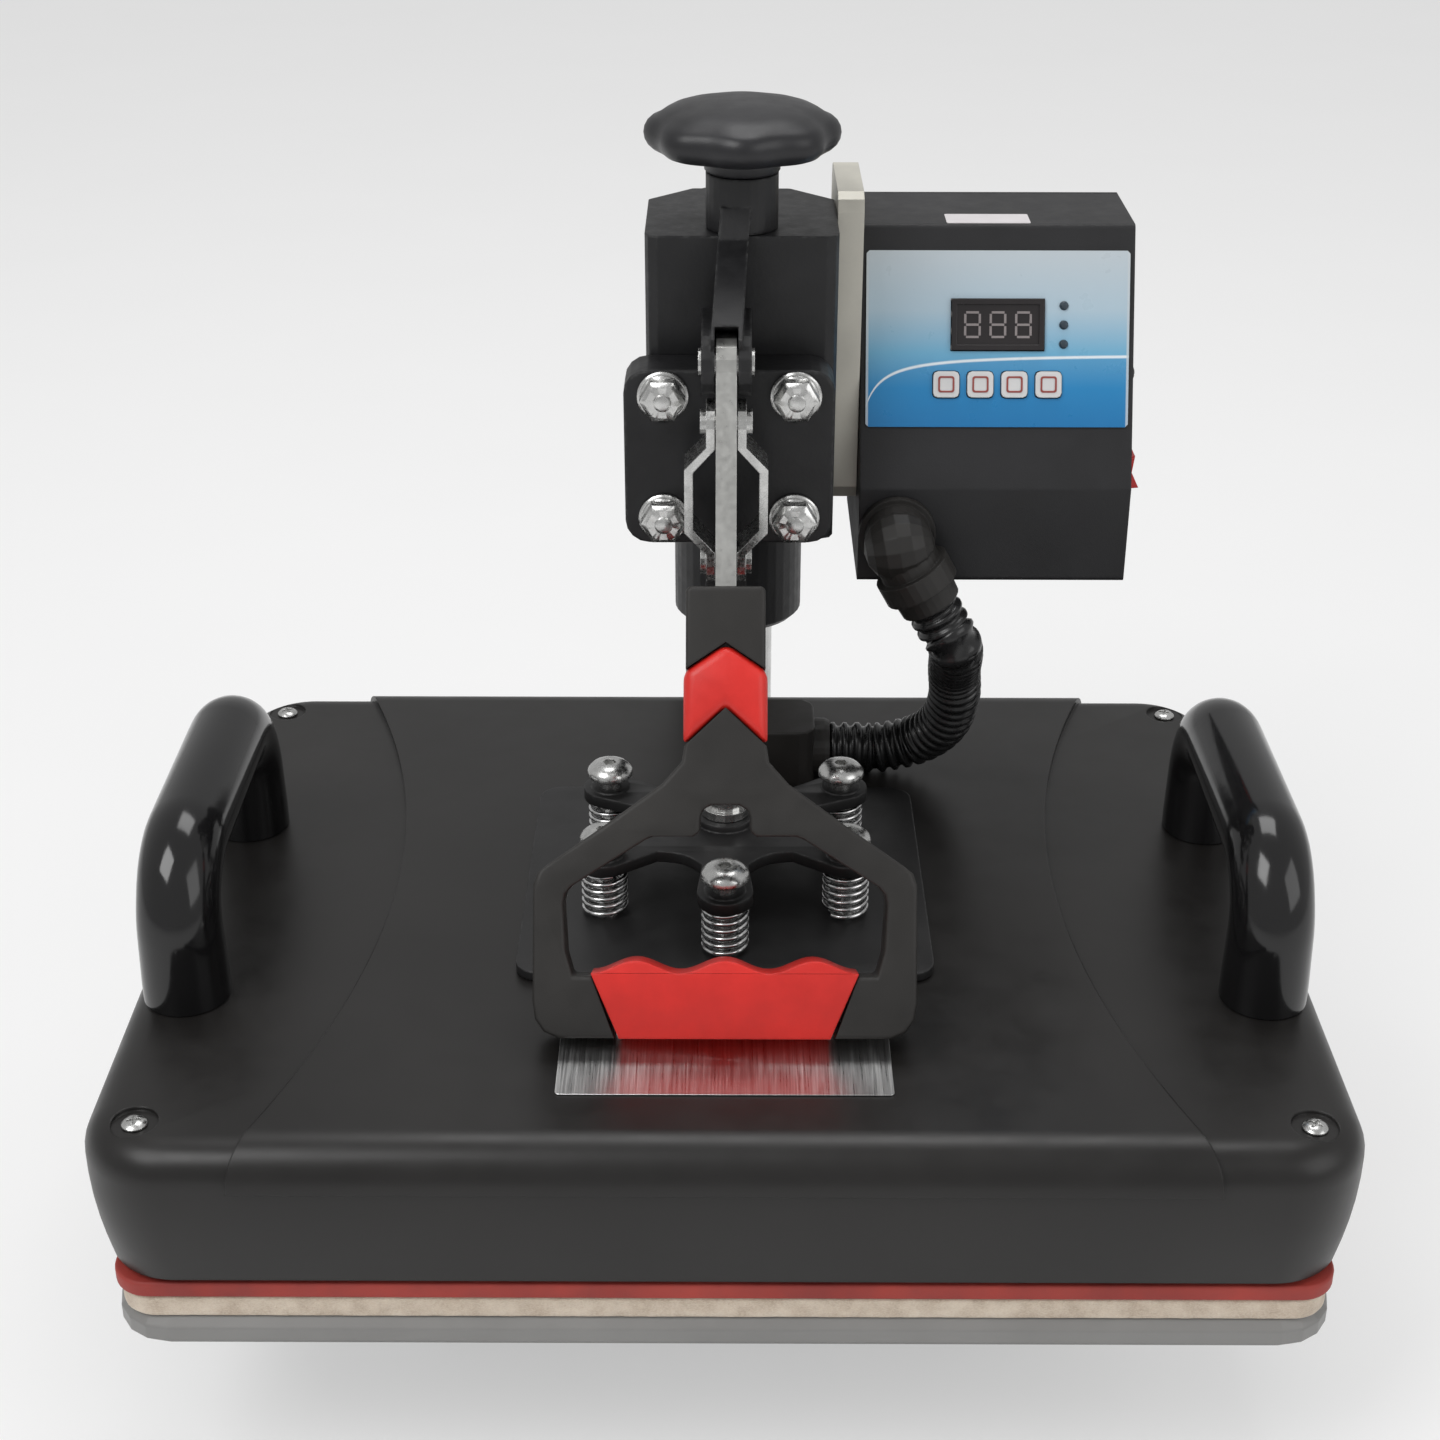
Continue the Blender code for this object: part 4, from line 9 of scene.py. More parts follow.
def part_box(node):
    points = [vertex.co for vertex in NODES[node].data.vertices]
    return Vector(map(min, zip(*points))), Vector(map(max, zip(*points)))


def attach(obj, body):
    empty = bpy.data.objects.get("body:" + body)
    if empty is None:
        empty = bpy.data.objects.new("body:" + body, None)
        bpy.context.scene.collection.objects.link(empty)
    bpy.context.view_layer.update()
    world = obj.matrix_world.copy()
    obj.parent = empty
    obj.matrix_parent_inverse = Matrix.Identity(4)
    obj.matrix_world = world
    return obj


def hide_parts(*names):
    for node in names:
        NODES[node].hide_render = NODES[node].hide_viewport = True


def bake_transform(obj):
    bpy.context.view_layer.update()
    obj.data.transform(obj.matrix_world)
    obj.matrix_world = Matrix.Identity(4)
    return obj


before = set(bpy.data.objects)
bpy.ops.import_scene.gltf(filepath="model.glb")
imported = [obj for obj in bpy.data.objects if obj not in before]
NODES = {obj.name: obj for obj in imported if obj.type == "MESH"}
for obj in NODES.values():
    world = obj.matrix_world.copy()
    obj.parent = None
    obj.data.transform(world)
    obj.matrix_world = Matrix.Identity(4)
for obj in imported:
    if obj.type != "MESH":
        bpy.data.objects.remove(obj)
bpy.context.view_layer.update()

# Places are measured from the press axis at bench level; SHIFT takes them to the model's origin.
SHIFT = Vector((0, -0.0389, 0))
GAP = 0.0003
COVER_HALF_WIDTH = 0.1980
COVER_HALF_DEPTH = 0.1560
COVER_CORNER = 0.0280
COVER_BOTTOM = 0.0926
COVER_TOP = 0.1422
COVER_TOP_ROUND = 0.0120
COVER_DRAFT = 0.0040
COVER_DRAFT_HEIGHT = 0.0300
PANEL_RISE = 0.0022
PANEL_TOP = COVER_TOP + PANEL_RISE
SCREW_X = 0.1800
SCREW_Y = 0.1375
HANDLE_X = 0.1780
HANDLE_FRONT = -0.0680
HANDLE_BACK = 0.0450
HANDLE_RISE = 0.0480
HANDLE_BEND = 0.0240
STUD_CIRCLE = 0.0480
STUD_COUNT = 6
STUD_HEAD = 0.1750
COIL_RADIUS = 0.0073
WIRE_RADIUS = 0.0009
COIL_TURNS = 5.5
HEAD_FACE = 0.0180
ARM_X = 0.0050
KNOB_Y = 0.0470
TOP_PIVOT = Vector((0, 0, 0.3380))
LEVER_LEAN = math.radians(28.0)
LEVER_OUT = Vector((0, -math.sin(LEVER_LEAN), -math.cos(LEVER_LEAN)))
BOX_MIDDLE = 0.09375
BOX_FRONT = 0.0450
BOX_BEND_Z = 0.2770
SLOPE_UP = Vector((0, 0.0350, 0.0840)).normalized()
SLOPE_OUT = Vector((0, -0.0840, 0.0350)).normalized()
DISPLAY_UP = 0.0566
FIGURE_PITCH = 0.0088
FIGURE_HALF_WIDTH = 0.0022
FIGURE_HALF_HEIGHT = 0.0042
BAR_HALF = 0.0004
KEY_UP = 0.0361
KEY_PITCH = 0.0118
BOX_SIDE = 0.1410
HOSE_ROOT_RADIUS = 0.0082
HOSE_RIB = 0.0015
HOSE_RIB_PITCH = 0.0046
RINGS_PER_RIB = 8
ELBOW_LEAN = math.radians(29.0)


# Camera and light


def make_camera():
    yaw = math.radians(-0.18)
    pitch = math.radians(27.25)
    roll = math.radians(0.07)
    forward = Vector((math.sin(yaw) * math.cos(pitch), math.cos(yaw) * math.cos(pitch),
                      -math.sin(pitch)))
    level = Vector((math.cos(yaw), -math.sin(yaw), 0))
    upright = level.cross(forward)
    right = level * math.cos(roll) + upright * math.sin(roll)
    up = upright * math.cos(roll) - level * math.sin(roll)
    data = bpy.data.cameras.new("camera")
    data.sensor_width = 36
    data.lens = 57.68
    data.clip_start = 0.01
    data.clip_end = 20
    camera = bpy.data.objects.new("camera", data)
    matrix = Matrix((right, up, -forward)).transposed().to_4x4()
    matrix.translation = Vector((0.0003, -0.7062, 0.5733)) + SHIFT
    camera.matrix_world = matrix
    bpy.context.scene.collection.objects.link(camera)
    bpy.context.scene.camera = camera


def area_light(name, place, target, size_x, size_y, power, colour=(1, 1, 1)):
    data = bpy.data.lights.new(name, "AREA")
    data.shape = "RECTANGLE"
    data.size = size_x
    data.size_y = size_y
    data.energy = power
    data.color = colour
    light = bpy.data.objects.new(name, data)
    light.location = place
    aim = Vector(target) - Vector(place)
    light.rotation_euler = aim.to_track_quat("-Z", "Y").to_euler()
    bpy.context.scene.collection.objects.link(light)


def make_studio():
    area_light("key", (-0.9, -0.9, 1.7), (0, 0, 0.15), 0.9, 0.9, 15)
    area_light("fill", (1.3, -0.9, 1.0), (0, 0, 0.15), 1.0, 1.0, 5)
    area_light("top", (0.1, 0.5, 1.9), (0, 0, 0.1), 1.0, 0.7, 9)
    world = bpy.data.worlds.new("studio")
    bpy.context.scene.world = world
    world.use_nodes = True
    tree = world.node_tree
    tree.nodes.clear()
    path = tree.nodes.new("ShaderNodeLightPath")
    seen = tree.nodes.new("ShaderNodeMath")
    seen.operation = "MAXIMUM"
    tree.links.new(path.outputs["Is Camera Ray"], seen.inputs[0])
    tree.links.new(path.outputs["Is Transmission Ray"], seen.inputs[1])
    strength = tree.nodes.new("ShaderNodeMapRange")
    strength.inputs["To Min"].default_value = 0.50
    strength.inputs["To Max"].default_value = 1.0
    tree.links.new(seen.outputs[0], strength.inputs["Value"])
    background = tree.nodes.new("ShaderNodeBackground")
    background.inputs["Color"].default_value = (1.0, 1.0, 1.0, 1.0)
    tree.links.new(strength.outputs["Result"], background.inputs["Strength"])
    output = tree.nodes.new("ShaderNodeOutputWorld")
    tree.links.new(background.outputs[0], output.inputs["Surface"])
    floor_mesh = bpy.data.meshes.new("floor")
    shape = bmesh.new()
    bmesh.ops.create_grid(shape, x_segments=1, y_segments=1, size=4)
    shape.to_mesh(floor_mesh)
    shape.free()
    floor = bpy.data.objects.new("floor", floor_mesh)
    bpy.context.scene.collection.objects.link(floor)
    floor.data.materials.append(pale_floor())
    bpy.context.scene.view_settings.view_transform = "Standard"


# Materials


class Paint:
    """Builds one node material step by step."""

    def __init__(self, name):
        self.material = bpy.data.materials.new(name)
        self.material.use_nodes = True
        self.tree = self.material.node_tree
        self.shader = self.tree.nodes["Principled BSDF"]
        self.place = self.tree.nodes.new("ShaderNodeTexCoord").outputs["Object"]

    def add(self, kind, settings=None, **inputs):
        item = self.tree.nodes.new(kind)
        for key, value in (settings or {}).items():
            setattr(item, key, value)
        for key, value in inputs.items():
            numbered = key[0] == "i" and key[1:].isdigit()
            self.feed(item.inputs[int(key[1:]) if numbered else key], value)
        return item

    def feed(self, socket, value):
        if isinstance(value, bpy.types.NodeSocket):
            self.tree.links.new(value, socket)
        else:
            socket.default_value = value

    def stretched(self, scale):
        return self.add("ShaderNodeMapping", Vector=self.place, Scale=scale).outputs[0]

    def noise(self, scale, detail=3.0, place=None, rough=0.55):
        return self.add("ShaderNodeTexNoise", Vector=place or self.place, Scale=scale,
                        Detail=detail, Roughness=rough).outputs["Fac"]

    def math(self, operation, first, second=0.0, third=None):
        item = self.add("ShaderNodeMath", {"operation": operation}, i0=first, i1=second)
        if third is not None:
            self.feed(item.inputs[2], third)
        return item.outputs[0]

    def ramp(self, value, low, high, out_low, out_high):
        item = self.add("ShaderNodeMapRange", Value=value)
        item.inputs["From Min"].default_value = low
        item.inputs["From Max"].default_value = high
        item.inputs["To Min"].default_value = out_low
        item.inputs["To Max"].default_value = out_high
        return item.outputs["Result"]

    def mix(self, share, first, second):
        item = self.add("ShaderNodeMix", {"data_type": "RGBA"})
        self.feed(item.inputs[0], share)
        for socket, value in ((item.inputs[6], first), (item.inputs[7], second)):
            if isinstance(value, tuple) and len(value) == 3:
                value = (*value, 1.0)
            self.feed(socket, value)
        return item.outputs[2]

    def soft_edge(self, radius):
        return self.add("ShaderNodeBevel", {"samples": 4}, Radius=radius).outputs[0]

    def bump(self, height, distance, normal=None, strength=1.0):
        item = self.add("ShaderNodeBump", Height=height, Distance=distance, Strength=strength)
        if normal is not None:
            self.feed(item.inputs["Normal"], normal)
        return item.outputs[0]

    def edge_mask(self, normal, sharpness):
        facing = self.add("ShaderNodeNewGeometry").outputs["Normal"]
        dot = self.add("ShaderNodeVectorMath", {"operation": "DOT_PRODUCT"}, i0=normal, i1=facing)
        return self.ramp(dot.outputs["Value"], 1.0 - sharpness, 1.0, 1.0, 0.0)

    def done(self, colour, roughness, metallic=0.0, normal=None, **fixed):
        if isinstance(colour, tuple) and len(colour) == 3:
            colour = (*colour, 1.0)
        self.feed(self.shader.inputs["Base Color"], colour)
        self.feed(self.shader.inputs["Roughness"], roughness)
        self.shader.inputs["Metallic"].default_value = metallic
        if normal is not None:
            self.feed(self.shader.inputs["Normal"], normal)
        for key, value in fixed.items():
            self.shader.inputs[key.replace("_", " ")].default_value = value
        return self.material


def shade(colour, share):
    return tuple(channel * share for channel in colour)


def surface(name, colour, rough, metallic=0.0, grain=2500, height=0.000010, edge=0.0005,
            spread=0.25, rough_spread=0.06, blotch=30, wear=0.0, wear_colour=(0.3, 0.3, 0.3),
            stretch=None, **fixed):
    """A finish with fine grain, broad unevenness, rounded edges and, if asked, rubbed edges."""
    paint = Paint(name)
    place = paint.stretched(stretch) if stretch else None
    fine = paint.noise(grain, 4, place)
    broad = paint.noise(blotch, 5)
    tone = paint.mix(paint.ramp(broad, 0.32, 0.68, 0.0, 1.0), shade(colour, 1 - spread),
                     shade(colour, 1 + spread))
    level = paint.ramp(paint.noise(blotch * 4, 6), 0.3, 0.7, rough - rough_spread,
                       rough + rough_spread)
    rounded_normal = paint.soft_edge(edge)
    if wear:
        rubbed = paint.math("MULTIPLY", paint.edge_mask(rounded_normal, 0.25),
                            paint.ramp(paint.noise(420, 6), 0.45, 0.62, 0.0, wear))
        tone = paint.mix(rubbed, tone, wear_colour)
    return paint.done(tone, level, metallic, paint.bump(fine, height, rounded_normal), **fixed)


def pale_floor():
    paint = Paint("pale_floor")
    tone = paint.mix(paint.noise(6, 2), (0.86, 0.86, 0.86), (0.90, 0.90, 0.90))
    material = paint.done(tone, 0.85)
    path = paint.add("ShaderNodeLightPath").outputs["Is Camera Ray"]
    glow = paint.add("ShaderNodeEmission", Strength=1.0)
    glow.inputs["Color"].default_value = (1.0, 1.0, 1.0, 1.0)
    blend = paint.add("ShaderNodeMixShader", i0=paint.math("MULTIPLY", path, 0.45))
    output = paint.tree.nodes["Material Output"]
    paint.tree.links.new(paint.shader.outputs[0], blend.inputs[1])
    paint.tree.links.new(glow.outputs[0], blend.inputs[2])
    paint.tree.links.new(blend.outputs[0], output.inputs["Surface"])
    return material


def felt():
    paint = Paint("cream_felt")
    fibre = paint.noise(1400, 8, paint.stretched((1.0, 1.0, 2.2)), 0.7)
    clump = paint.noise(160, 5)
    tone = paint.mix(paint.ramp(clump, 0.3, 0.7, 0, 1), (0.50, 0.37, 0.26), (0.80, 0.67, 0.53))
    tone = paint.mix(paint.ramp(fibre, 0.35, 0.65, 0, 0.55), tone, (0.90, 0.82, 0.70))
    height = paint.math("ADD", fibre, paint.math("MULTIPLY", clump, 0.8))
    return paint.done(tone, 0.96, 0.0, paint.bump(height, 0.0006, paint.soft_edge(0.001)),
                      Sheen_Weight=0.25, Sheen_Roughness=0.5)


def silicone():
    paint = Paint("dark_red_silicone")
    fine = paint.noise(1800, 4)
    broad = paint.noise(45, 5)
    tone = paint.mix(paint.ramp(broad, 0.3, 0.7, 0, 1), (0.25, 0.024, 0.018), (0.40, 0.045, 0.032))
    rough = paint.ramp(paint.noise(90, 5), 0.3, 0.7, 0.48, 0.66)
    return paint.done(tone, rough, 0.0, paint.bump(fine, 0.00008, paint.soft_edge(0.0008)))


def panel_print():
    """Silver at the top running to blue at the foot, with a pale swoosh across it."""
    paint = Paint("panel_print")
    shift = paint.add("ShaderNodeMapping", Vector=paint.place,
                      Location=(-BOX_MIDDLE, -(BOX_FRONT + SHIFT.y), -BOX_BEND_Z)).outputs[0]
    axes = paint.add("ShaderNodeSeparateXYZ", Vector=shift)
    across = paint.math("DIVIDE", axes.outputs["X"], 0.0455)
    up = paint.math("ADD", paint.math("MULTIPLY", axes.outputs["Y"], SLOPE_UP.y),
                    paint.math("MULTIPLY", axes.outputs["Z"], SLOPE_UP.z))
    climb = paint.ramp(up, 0.0215, 0.0820, 0.0, 1.0)
    ramp = paint.add("ShaderNodeValToRGB", Fac=climb)
    stops = ramp.color_ramp.elements
    stops[0].position = 0.0
    stops[0].color = (0.010, 0.165, 0.410, 1)
    stops[1].position = 1.0
    stops[1].color = (0.52, 0.58, 0.62, 1)
    for position, colour in ((0.22, (0.020, 0.240, 0.520, 1)), (0.42, (0.16, 0.42, 0.62, 1)),
                             (0.66, (0.42, 0.55, 0.64, 1))):
        stop = stops.new(position)
        stop.color = colour
    # The swoosh climbs from the lower left corner and levels off above the keys.
    reach = paint.math("ADD", across, 1.0)
    fall = paint.math("DIVIDE", 0.040, paint.math("ADD", reach, 0.13))
    curve = paint.math("SUBTRACT", 0.42, fall)
    away = paint.math("ABSOLUTE", paint.math("SUBTRACT", climb, curve))
    line = paint.ramp(away, 0.004, 0.011, 1.0, 0.0)
    below = paint.ramp(paint.math("SUBTRACT", curve, climb), 0.0, 0.015, 0.0, 0.35)
    tone = paint.mix(below, ramp.outputs["Color"], (0.012, 0.20, 0.47))
    tone = paint.mix(line, tone, (0.78, 0.84, 0.88))
    margin = paint.ramp(paint.math("ABSOLUTE", across), 0.978, 0.985, 0.0, 0.8)
    tone = paint.mix(margin, tone, (0.55, 0.60, 0.63))
    fine = paint.noise(4000, 2)
    rough = paint.ramp(paint.noise(120, 4), 0.3, 0.7, 0.26, 0.36)
    return paint.done(tone, rough, 0.0, paint.bump(fine, 0.000006))


def label_plate_finish():
    paint = Paint("bare_label_plate")
    streaks = paint.noise(60, 6, paint.stretched((26.0, 0.6, 1.0)), 0.6)
    tone = paint.mix(paint.ramp(streaks, 0.3, 0.7, 0, 1), (0.52, 0.52, 0.52), (0.78, 0.78, 0.77))
    rough = paint.ramp(streaks, 0.3, 0.7, 0.26, 0.40)
    return paint.done(tone, rough, 1.0, paint.bump(streaks, 0.00002), Anisotropic=0.5)


def paper():
    paint = Paint("blank_sticker")
    tone = paint.mix(paint.noise(150, 5), (0.60, 0.57, 0.58), (0.72, 0.69, 0.70))
    return paint.done(tone, 0.6, 0.0, paint.bump(paint.noise(900, 3), 0.00003))


def turned_steel(name, colour, rough, axis_stretch):
    return surface(name, colour, rough, 1.0, grain=700, height=0.000006, edge=0.0003, spread=0.10,
                   rough_spread=0.07, blotch=120, stretch=axis_stretch)


BLACK_PAINT = surface("satin_black_paint", (0.0125, 0.0122, 0.0125), 0.44, grain=1600,
                      height=0.000016, edge=0.0009, wear=0.25, Specular_IOR_Level=0.42)
COVER_BLACK = surface("cover_black", (0.0118, 0.0108, 0.0102), 0.36, grain=1100, height=0.000010,
                      edge=0.0010, spread=0.18, blotch=14, rough_spread=0.05,
                      Specular_IOR_Level=0.42)
CAST_BLACK = surface("cast_black", (0.0115, 0.0115, 0.0125), 0.46, grain=750, height=0.000060,
                     edge=0.0014, wear=0.22, blotch=60, Specular_IOR_Level=0.40)
BOX_BLACK = surface("box_powder_coat", (0.0150, 0.0150, 0.0165), 0.50, grain=1500,
                    height=0.000045, edge=0.0010, wear=0.15, Specular_IOR_Level=0.40)
GLOSS_BLACK = surface("gloss_black_plastic", (0.0070, 0.0068, 0.0072), 0.13, grain=500,
                      height=0.000010, edge=0.0004, rough_spread=0.04, spread=0.1)
MATTE_BLACK = surface("matte_black_plastic", (0.0180, 0.0165, 0.0150), 0.50, grain=1800,
                      height=0.000030, edge=0.0008, rough_spread=0.08, Specular_IOR_Level=0.45)
KNOB_BLACK = surface("knob_black_plastic", (0.0130, 0.0130, 0.0150), 0.40, grain=1700,
                     height=0.000040, edge=0.0008, Specular_IOR_Level=0.45)
HOSE_BLACK = surface("hose_black", (0.0100, 0.0100, 0.0105), 0.26, grain=900, height=0.000015,
                     edge=0.0002, rough_spread=0.06)
RUBBER = surface("foot_rubber", (0.020, 0.020, 0.020), 0.82, grain=900, height=0.00010)
GREY_PAINT = surface("grey_enamel", (0.235, 0.232, 0.225), 0.40, grain=900, height=0.000030,
                     edge=0.0016, spread=0.07, blotch=22)
PALE_STEEL = surface("pale_plated_sheet", (0.62, 0.60, 0.53), 0.42, 0.35, grain=500,
                     height=0.000020, edge=0.0004, spread=0.10, blotch=40)
ZINC = surface("zinc_plated_steel", (0.60, 0.60, 0.59), 0.27, 1.0, grain=900, height=0.000020,
               edge=0.0004, spread=0.16, blotch=220, rough_spread=0.09)
SPRING_WIRE = surface("spring_wire", (0.66, 0.66, 0.66), 0.20, 1.0, grain=800, height=0.000010,
                      edge=0.0001, spread=0.14, blotch=200)
ROLLED_STEEL = turned_steel("rolled_steel", (0.54, 0.54, 0.52), 0.33, (1.0, 0.3, 0.3))
GROUND_STEEL = turned_steel("ground_steel", (0.60, 0.60, 0.59), 0.24, (0.15, 0.15, 1.0))
ALUMINIUM = surface("milled_aluminium", (0.66, 0.66, 0.65), 0.34, 1.0, grain=600, height=0.000015,
                    edge=0.0006, spread=0.08, stretch=(0.2, 0.2, 4.0))
BRASS = surface("turned_brass", (0.68, 0.50, 0.22), 0.30, 1.0)
BRONZE = surface("bronze_washer", (0.52, 0.36, 0.20), 0.42, 1.0)
RED = surface("red_soft_plastic", (0.66, 0.020, 0.014), 0.40, grain=2200, height=0.000045,
              edge=0.0010, spread=0.10, blotch=60)
ROCKER_RED = surface("rocker_red", (0.60, 0.012, 0.010), 0.24, grain=900, height=0.000006,
                     edge=0.0004, spread=0.06)
DARK_WINDOW = surface("display_window", (0.020, 0.017, 0.018), 0.14, grain=300, height=0.000004,
                      edge=0.0003, rough_spread=0.03)
SEGMENT = surface("unlit_segment", (0.26, 0.23, 0.23), 0.35, grain=600, height=0.000004,
                  edge=0.0001, spread=0.06)
KEY_WHITE = surface("key_white", (0.66, 0.66, 0.66), 0.42, grain=1500, height=0.000012,
                    edge=0.0006, spread=0.06)
KEY_MARK = surface("key_mark", (0.30, 0.06, 0.05), 0.45, grain=900, height=0.000004,
                   edge=0.0001, spread=0.1)
LED_DARK = surface("led_dark", (0.030, 0.045, 0.060), 0.18, grain=700, height=0.000004,
                   edge=0.0003)
DARK_STEEL = surface("black_oxide_steel", (0.030, 0.030, 0.032), 0.30, 0.7, grain=900,
                     height=0.000015, edge=0.0003)
FELT = felt()
SILICONE = silicone()
PANEL = panel_print()
LABEL = label_plate_finish()
PAPER = paper()


# Shapes


def new_object(name, shape):
    mesh = bpy.data.meshes.new(name)
    bmesh.ops.remove_doubles(shape, verts=shape.verts, dist=0.0000010)
    bmesh.ops.recalc_face_normals(shape, faces=shape.faces)
    if shape.calc_volume(signed=True) < 0:
        bmesh.ops.reverse_faces(shape, faces=shape.faces)
    shape.to_mesh(mesh)
    shape.free()
    obj = bpy.data.objects.new(name, mesh)
    bpy.context.scene.collection.objects.link(obj)
    return obj


def solid(obj):
    """The evaluated object as a plain mesh in its place."""
    bpy.context.view_layer.update()
    graph = bpy.context.evaluated_depsgraph_get()
    shape = bmesh.new()
    shape.from_mesh(bpy.data.meshes.new_from_object(obj.evaluated_get(graph)))
    bmesh.ops.transform(shape, matrix=obj.matrix_world, verts=shape.verts)
    name = obj.name
    bpy.data.objects.remove(obj, do_unlink=True)
    return new_object(name, shape)


def combine(name, *objects):
    """Several plain meshes as one object; they may overlap."""
    shape = bmesh.new()
    for obj in objects:
        part = obj.data.copy()
        part.transform(obj.matrix_world)
        shape.from_mesh(part)
        bpy.data.objects.remove(obj, do_unlink=True)
    mesh = bpy.data.meshes.new(name)
    shape.to_mesh(mesh)
    shape.free()
    obj = bpy.data.objects.new(name, mesh)
    bpy.context.scene.collection.objects.link(obj)
    return obj


def loft(name, rings):
    """Joins rings of as many points into one closed solid."""
    shape = bmesh.new()
    levels = [[shape.verts.new(point) for point in points] for points in rings]
    count = len(rings[0])
    shape.faces.new(reversed(levels[0]))
    shape.faces.new(levels[-1])
    for lower, upper in zip(levels, levels[1:]):
        for index in range(count):
            after = (index + 1) % count
            shape.faces.new((lower[index], lower[after], upper[after], upper[index]))
    return new_object(name, shape)


def turned(name, profile, centre=(0, 0, 0), axis=(0, 0, 1), steps=48):
    """Turns a profile of (radius, height) pairs, from the top down, about an axis."""
    rings = []
    for radius, height in reversed(profile):
        reach = max(radius, 0.0000020)
        rings.append([(reach * math.cos(math.tau * step / steps),
                       reach * math.sin(math.tau * step / steps), height) for step in range(steps)])
    obj = loft(name, rings)
    rotation = Vector((0, 0, 1)).rotation_difference(Vector(axis)).to_matrix().to_4x4()
    obj.data.transform(Matrix.Translation(centre) @ rotation)
    return obj


def prism(name, outlines, thickness, matrix, edge=0.0, segments=3):
    """Flat outlines, the first one solid and those inside it holes, given a thickness."""
    curve = bpy.data.curves.new(name, "CURVE")
    curve.dimensions = "2D"
    curve.fill_mode = "BOTH"
    curve.extrude = thickness / 2
    for outline in outlines:
        spline = curve.splines.new("POLY")
        spline.points.add(len(outline) - 1)
        for point, (a, b) in zip(spline.points, outline):
            point.co = (a, b, 0, 1)
        spline.use_cyclic_u = True
    obj = bpy.data.objects.new(name, curve)
    bpy.context.scene.collection.objects.link(obj)
    obj = solid(obj)
    if edge:
        bevel(obj, edge, segments)
        obj = solid(obj)
    obj.data.transform(matrix)
    return obj


def bevel(obj, width, segments=3, angle=40):
    modifier = obj.modifiers.new("bevel", "BEVEL")
    modifier.width = width
    modifier.segments = segments
    modifier.limit_method = "ANGLE"
    modifier.angle_limit = math.radians(angle)
    return obj


def boolean(obj, tool, operation):
    modifier = obj.modifiers.new("boolean", "BOOLEAN")
    modifier.operation = operation
    modifier.solver = "EXACT"
    modifier.object = tool
    result = solid(obj)
    bpy.data.objects.remove(tool, do_unlink=True)
    return result


def tube(name, points, radius, sides, radii=None):
    """A round tube swept along points with its section turned as little as possible."""
    rings = []
    tangent = (points[1] - points[0]).normalized()
    side = tangent.orthogonal().normalized()
    for index, point in enumerate(points):
        before = points[max(0, index - 1)]
        after = points[min(len(points) - 1, index + 1)]
        direction = (after - before).normalized()
        side = (side - direction * side.dot(direction)).normalized()
        other = direction.cross(side)
        reach = radius * (radii[index] if radii else 1.0)
        rings.append([point + side * reach * math.cos(math.tau * step / sides)
                      + other * reach * math.sin(math.tau * step / sides) for step in range(sides)])
    return loft(name, rings)


def arc(centre, radius, start, end, steps):
    points = []
    for index in range(steps + 1):
        turn = math.radians(start + (end - start) * index / steps)
        points.append((centre[0] + radius * math.cos(turn), centre[1] + radius * math.sin(turn)))
    return points


def rounded(points, radii, steps=8):
    """The outline with an arc at each corner; radii is one radius or one for each corner."""
    count = len(points)
    if not hasattr(radii, "__len__"):
        radii = [radii] * count
    result = []
    for index in range(count):
        corner = Vector(points[index])
        before = (Vector(points[index - 1]) - corner).normalized()
        after = (Vector(points[(index + 1) % count]) - corner).normalized()
        radius = radii[index]
        if radius <= 0:
            result.append(tuple(corner))
            continue
        half = before.angle(after) / 2
        reach = radius / math.tan(half)
        centre = corner + (before + after).normalized() * radius / math.sin(half)
        first = corner + before * reach - centre
        sweep = first.angle_signed(corner + after * reach - centre)
        for step in range(steps + 1):
            turn = -sweep * step / steps
            arm = Matrix.Rotation(turn, 2) @ first
            result.append(tuple(centre + arm))
    return result


def rounded_rectangle(half_width, half_depth, radius, steps=8):
    return rounded([(-half_width, -half_depth), (half_width, -half_depth),
                    (half_width, half_depth), (-half_width, half_depth)], radius, steps)


def mirrored(half):
    return list(half) + [(-x, y) for x, y in reversed(half) if abs(x) > 0]


def flat_at(height):
    return Matrix.Translation((0, 0, height))


def panel_at(x, up, out):
    """A place on the sloping panel: up the slope from the bend, and out from its face."""
    place = Vector((x, BOX_FRONT, BOX_BEND_Z)) + SLOPE_UP * up + SLOPE_OUT * out
    matrix = Matrix((Vector((1, 0, 0)), SLOPE_UP, SLOPE_OUT)).transposed().to_4x4()
    matrix.translation = place
    return matrix


def lever_at(depth=0.0):
    """X stays, the outline's second number runs down the lever, and depth is towards its back."""
    back = Vector((1, 0, 0)).cross(LEVER_OUT)
    matrix = Matrix((Vector((1, 0, 0)), LEVER_OUT, back)).transposed().to_4x4()
    matrix.translation = TOP_PIVOT + back * depth
    return matrix


def smooth(obj, angle=32):
    obj.data.shade_smooth()
    obj.data.set_sharp_from_angle(angle=math.radians(angle))
    return obj


def piece(obj, name, material, body, nodes=(), angle=32):
    """Finishes a piece: takes it to the model's origin, smooths it and puts it on its body."""
    obj.name = name
    obj.data.transform(obj.matrix_world)
    obj.matrix_world = Matrix.Identity(4)
    obj.data.transform(Matrix.Translation(SHIFT))
    smooth(obj, angle)
    obj.data.materials.clear()
    obj.data.materials.append(material)
    if body:
        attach(obj, body)
    if nodes:
        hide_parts(*nodes)
    return obj


# Felt pad and silicone mat


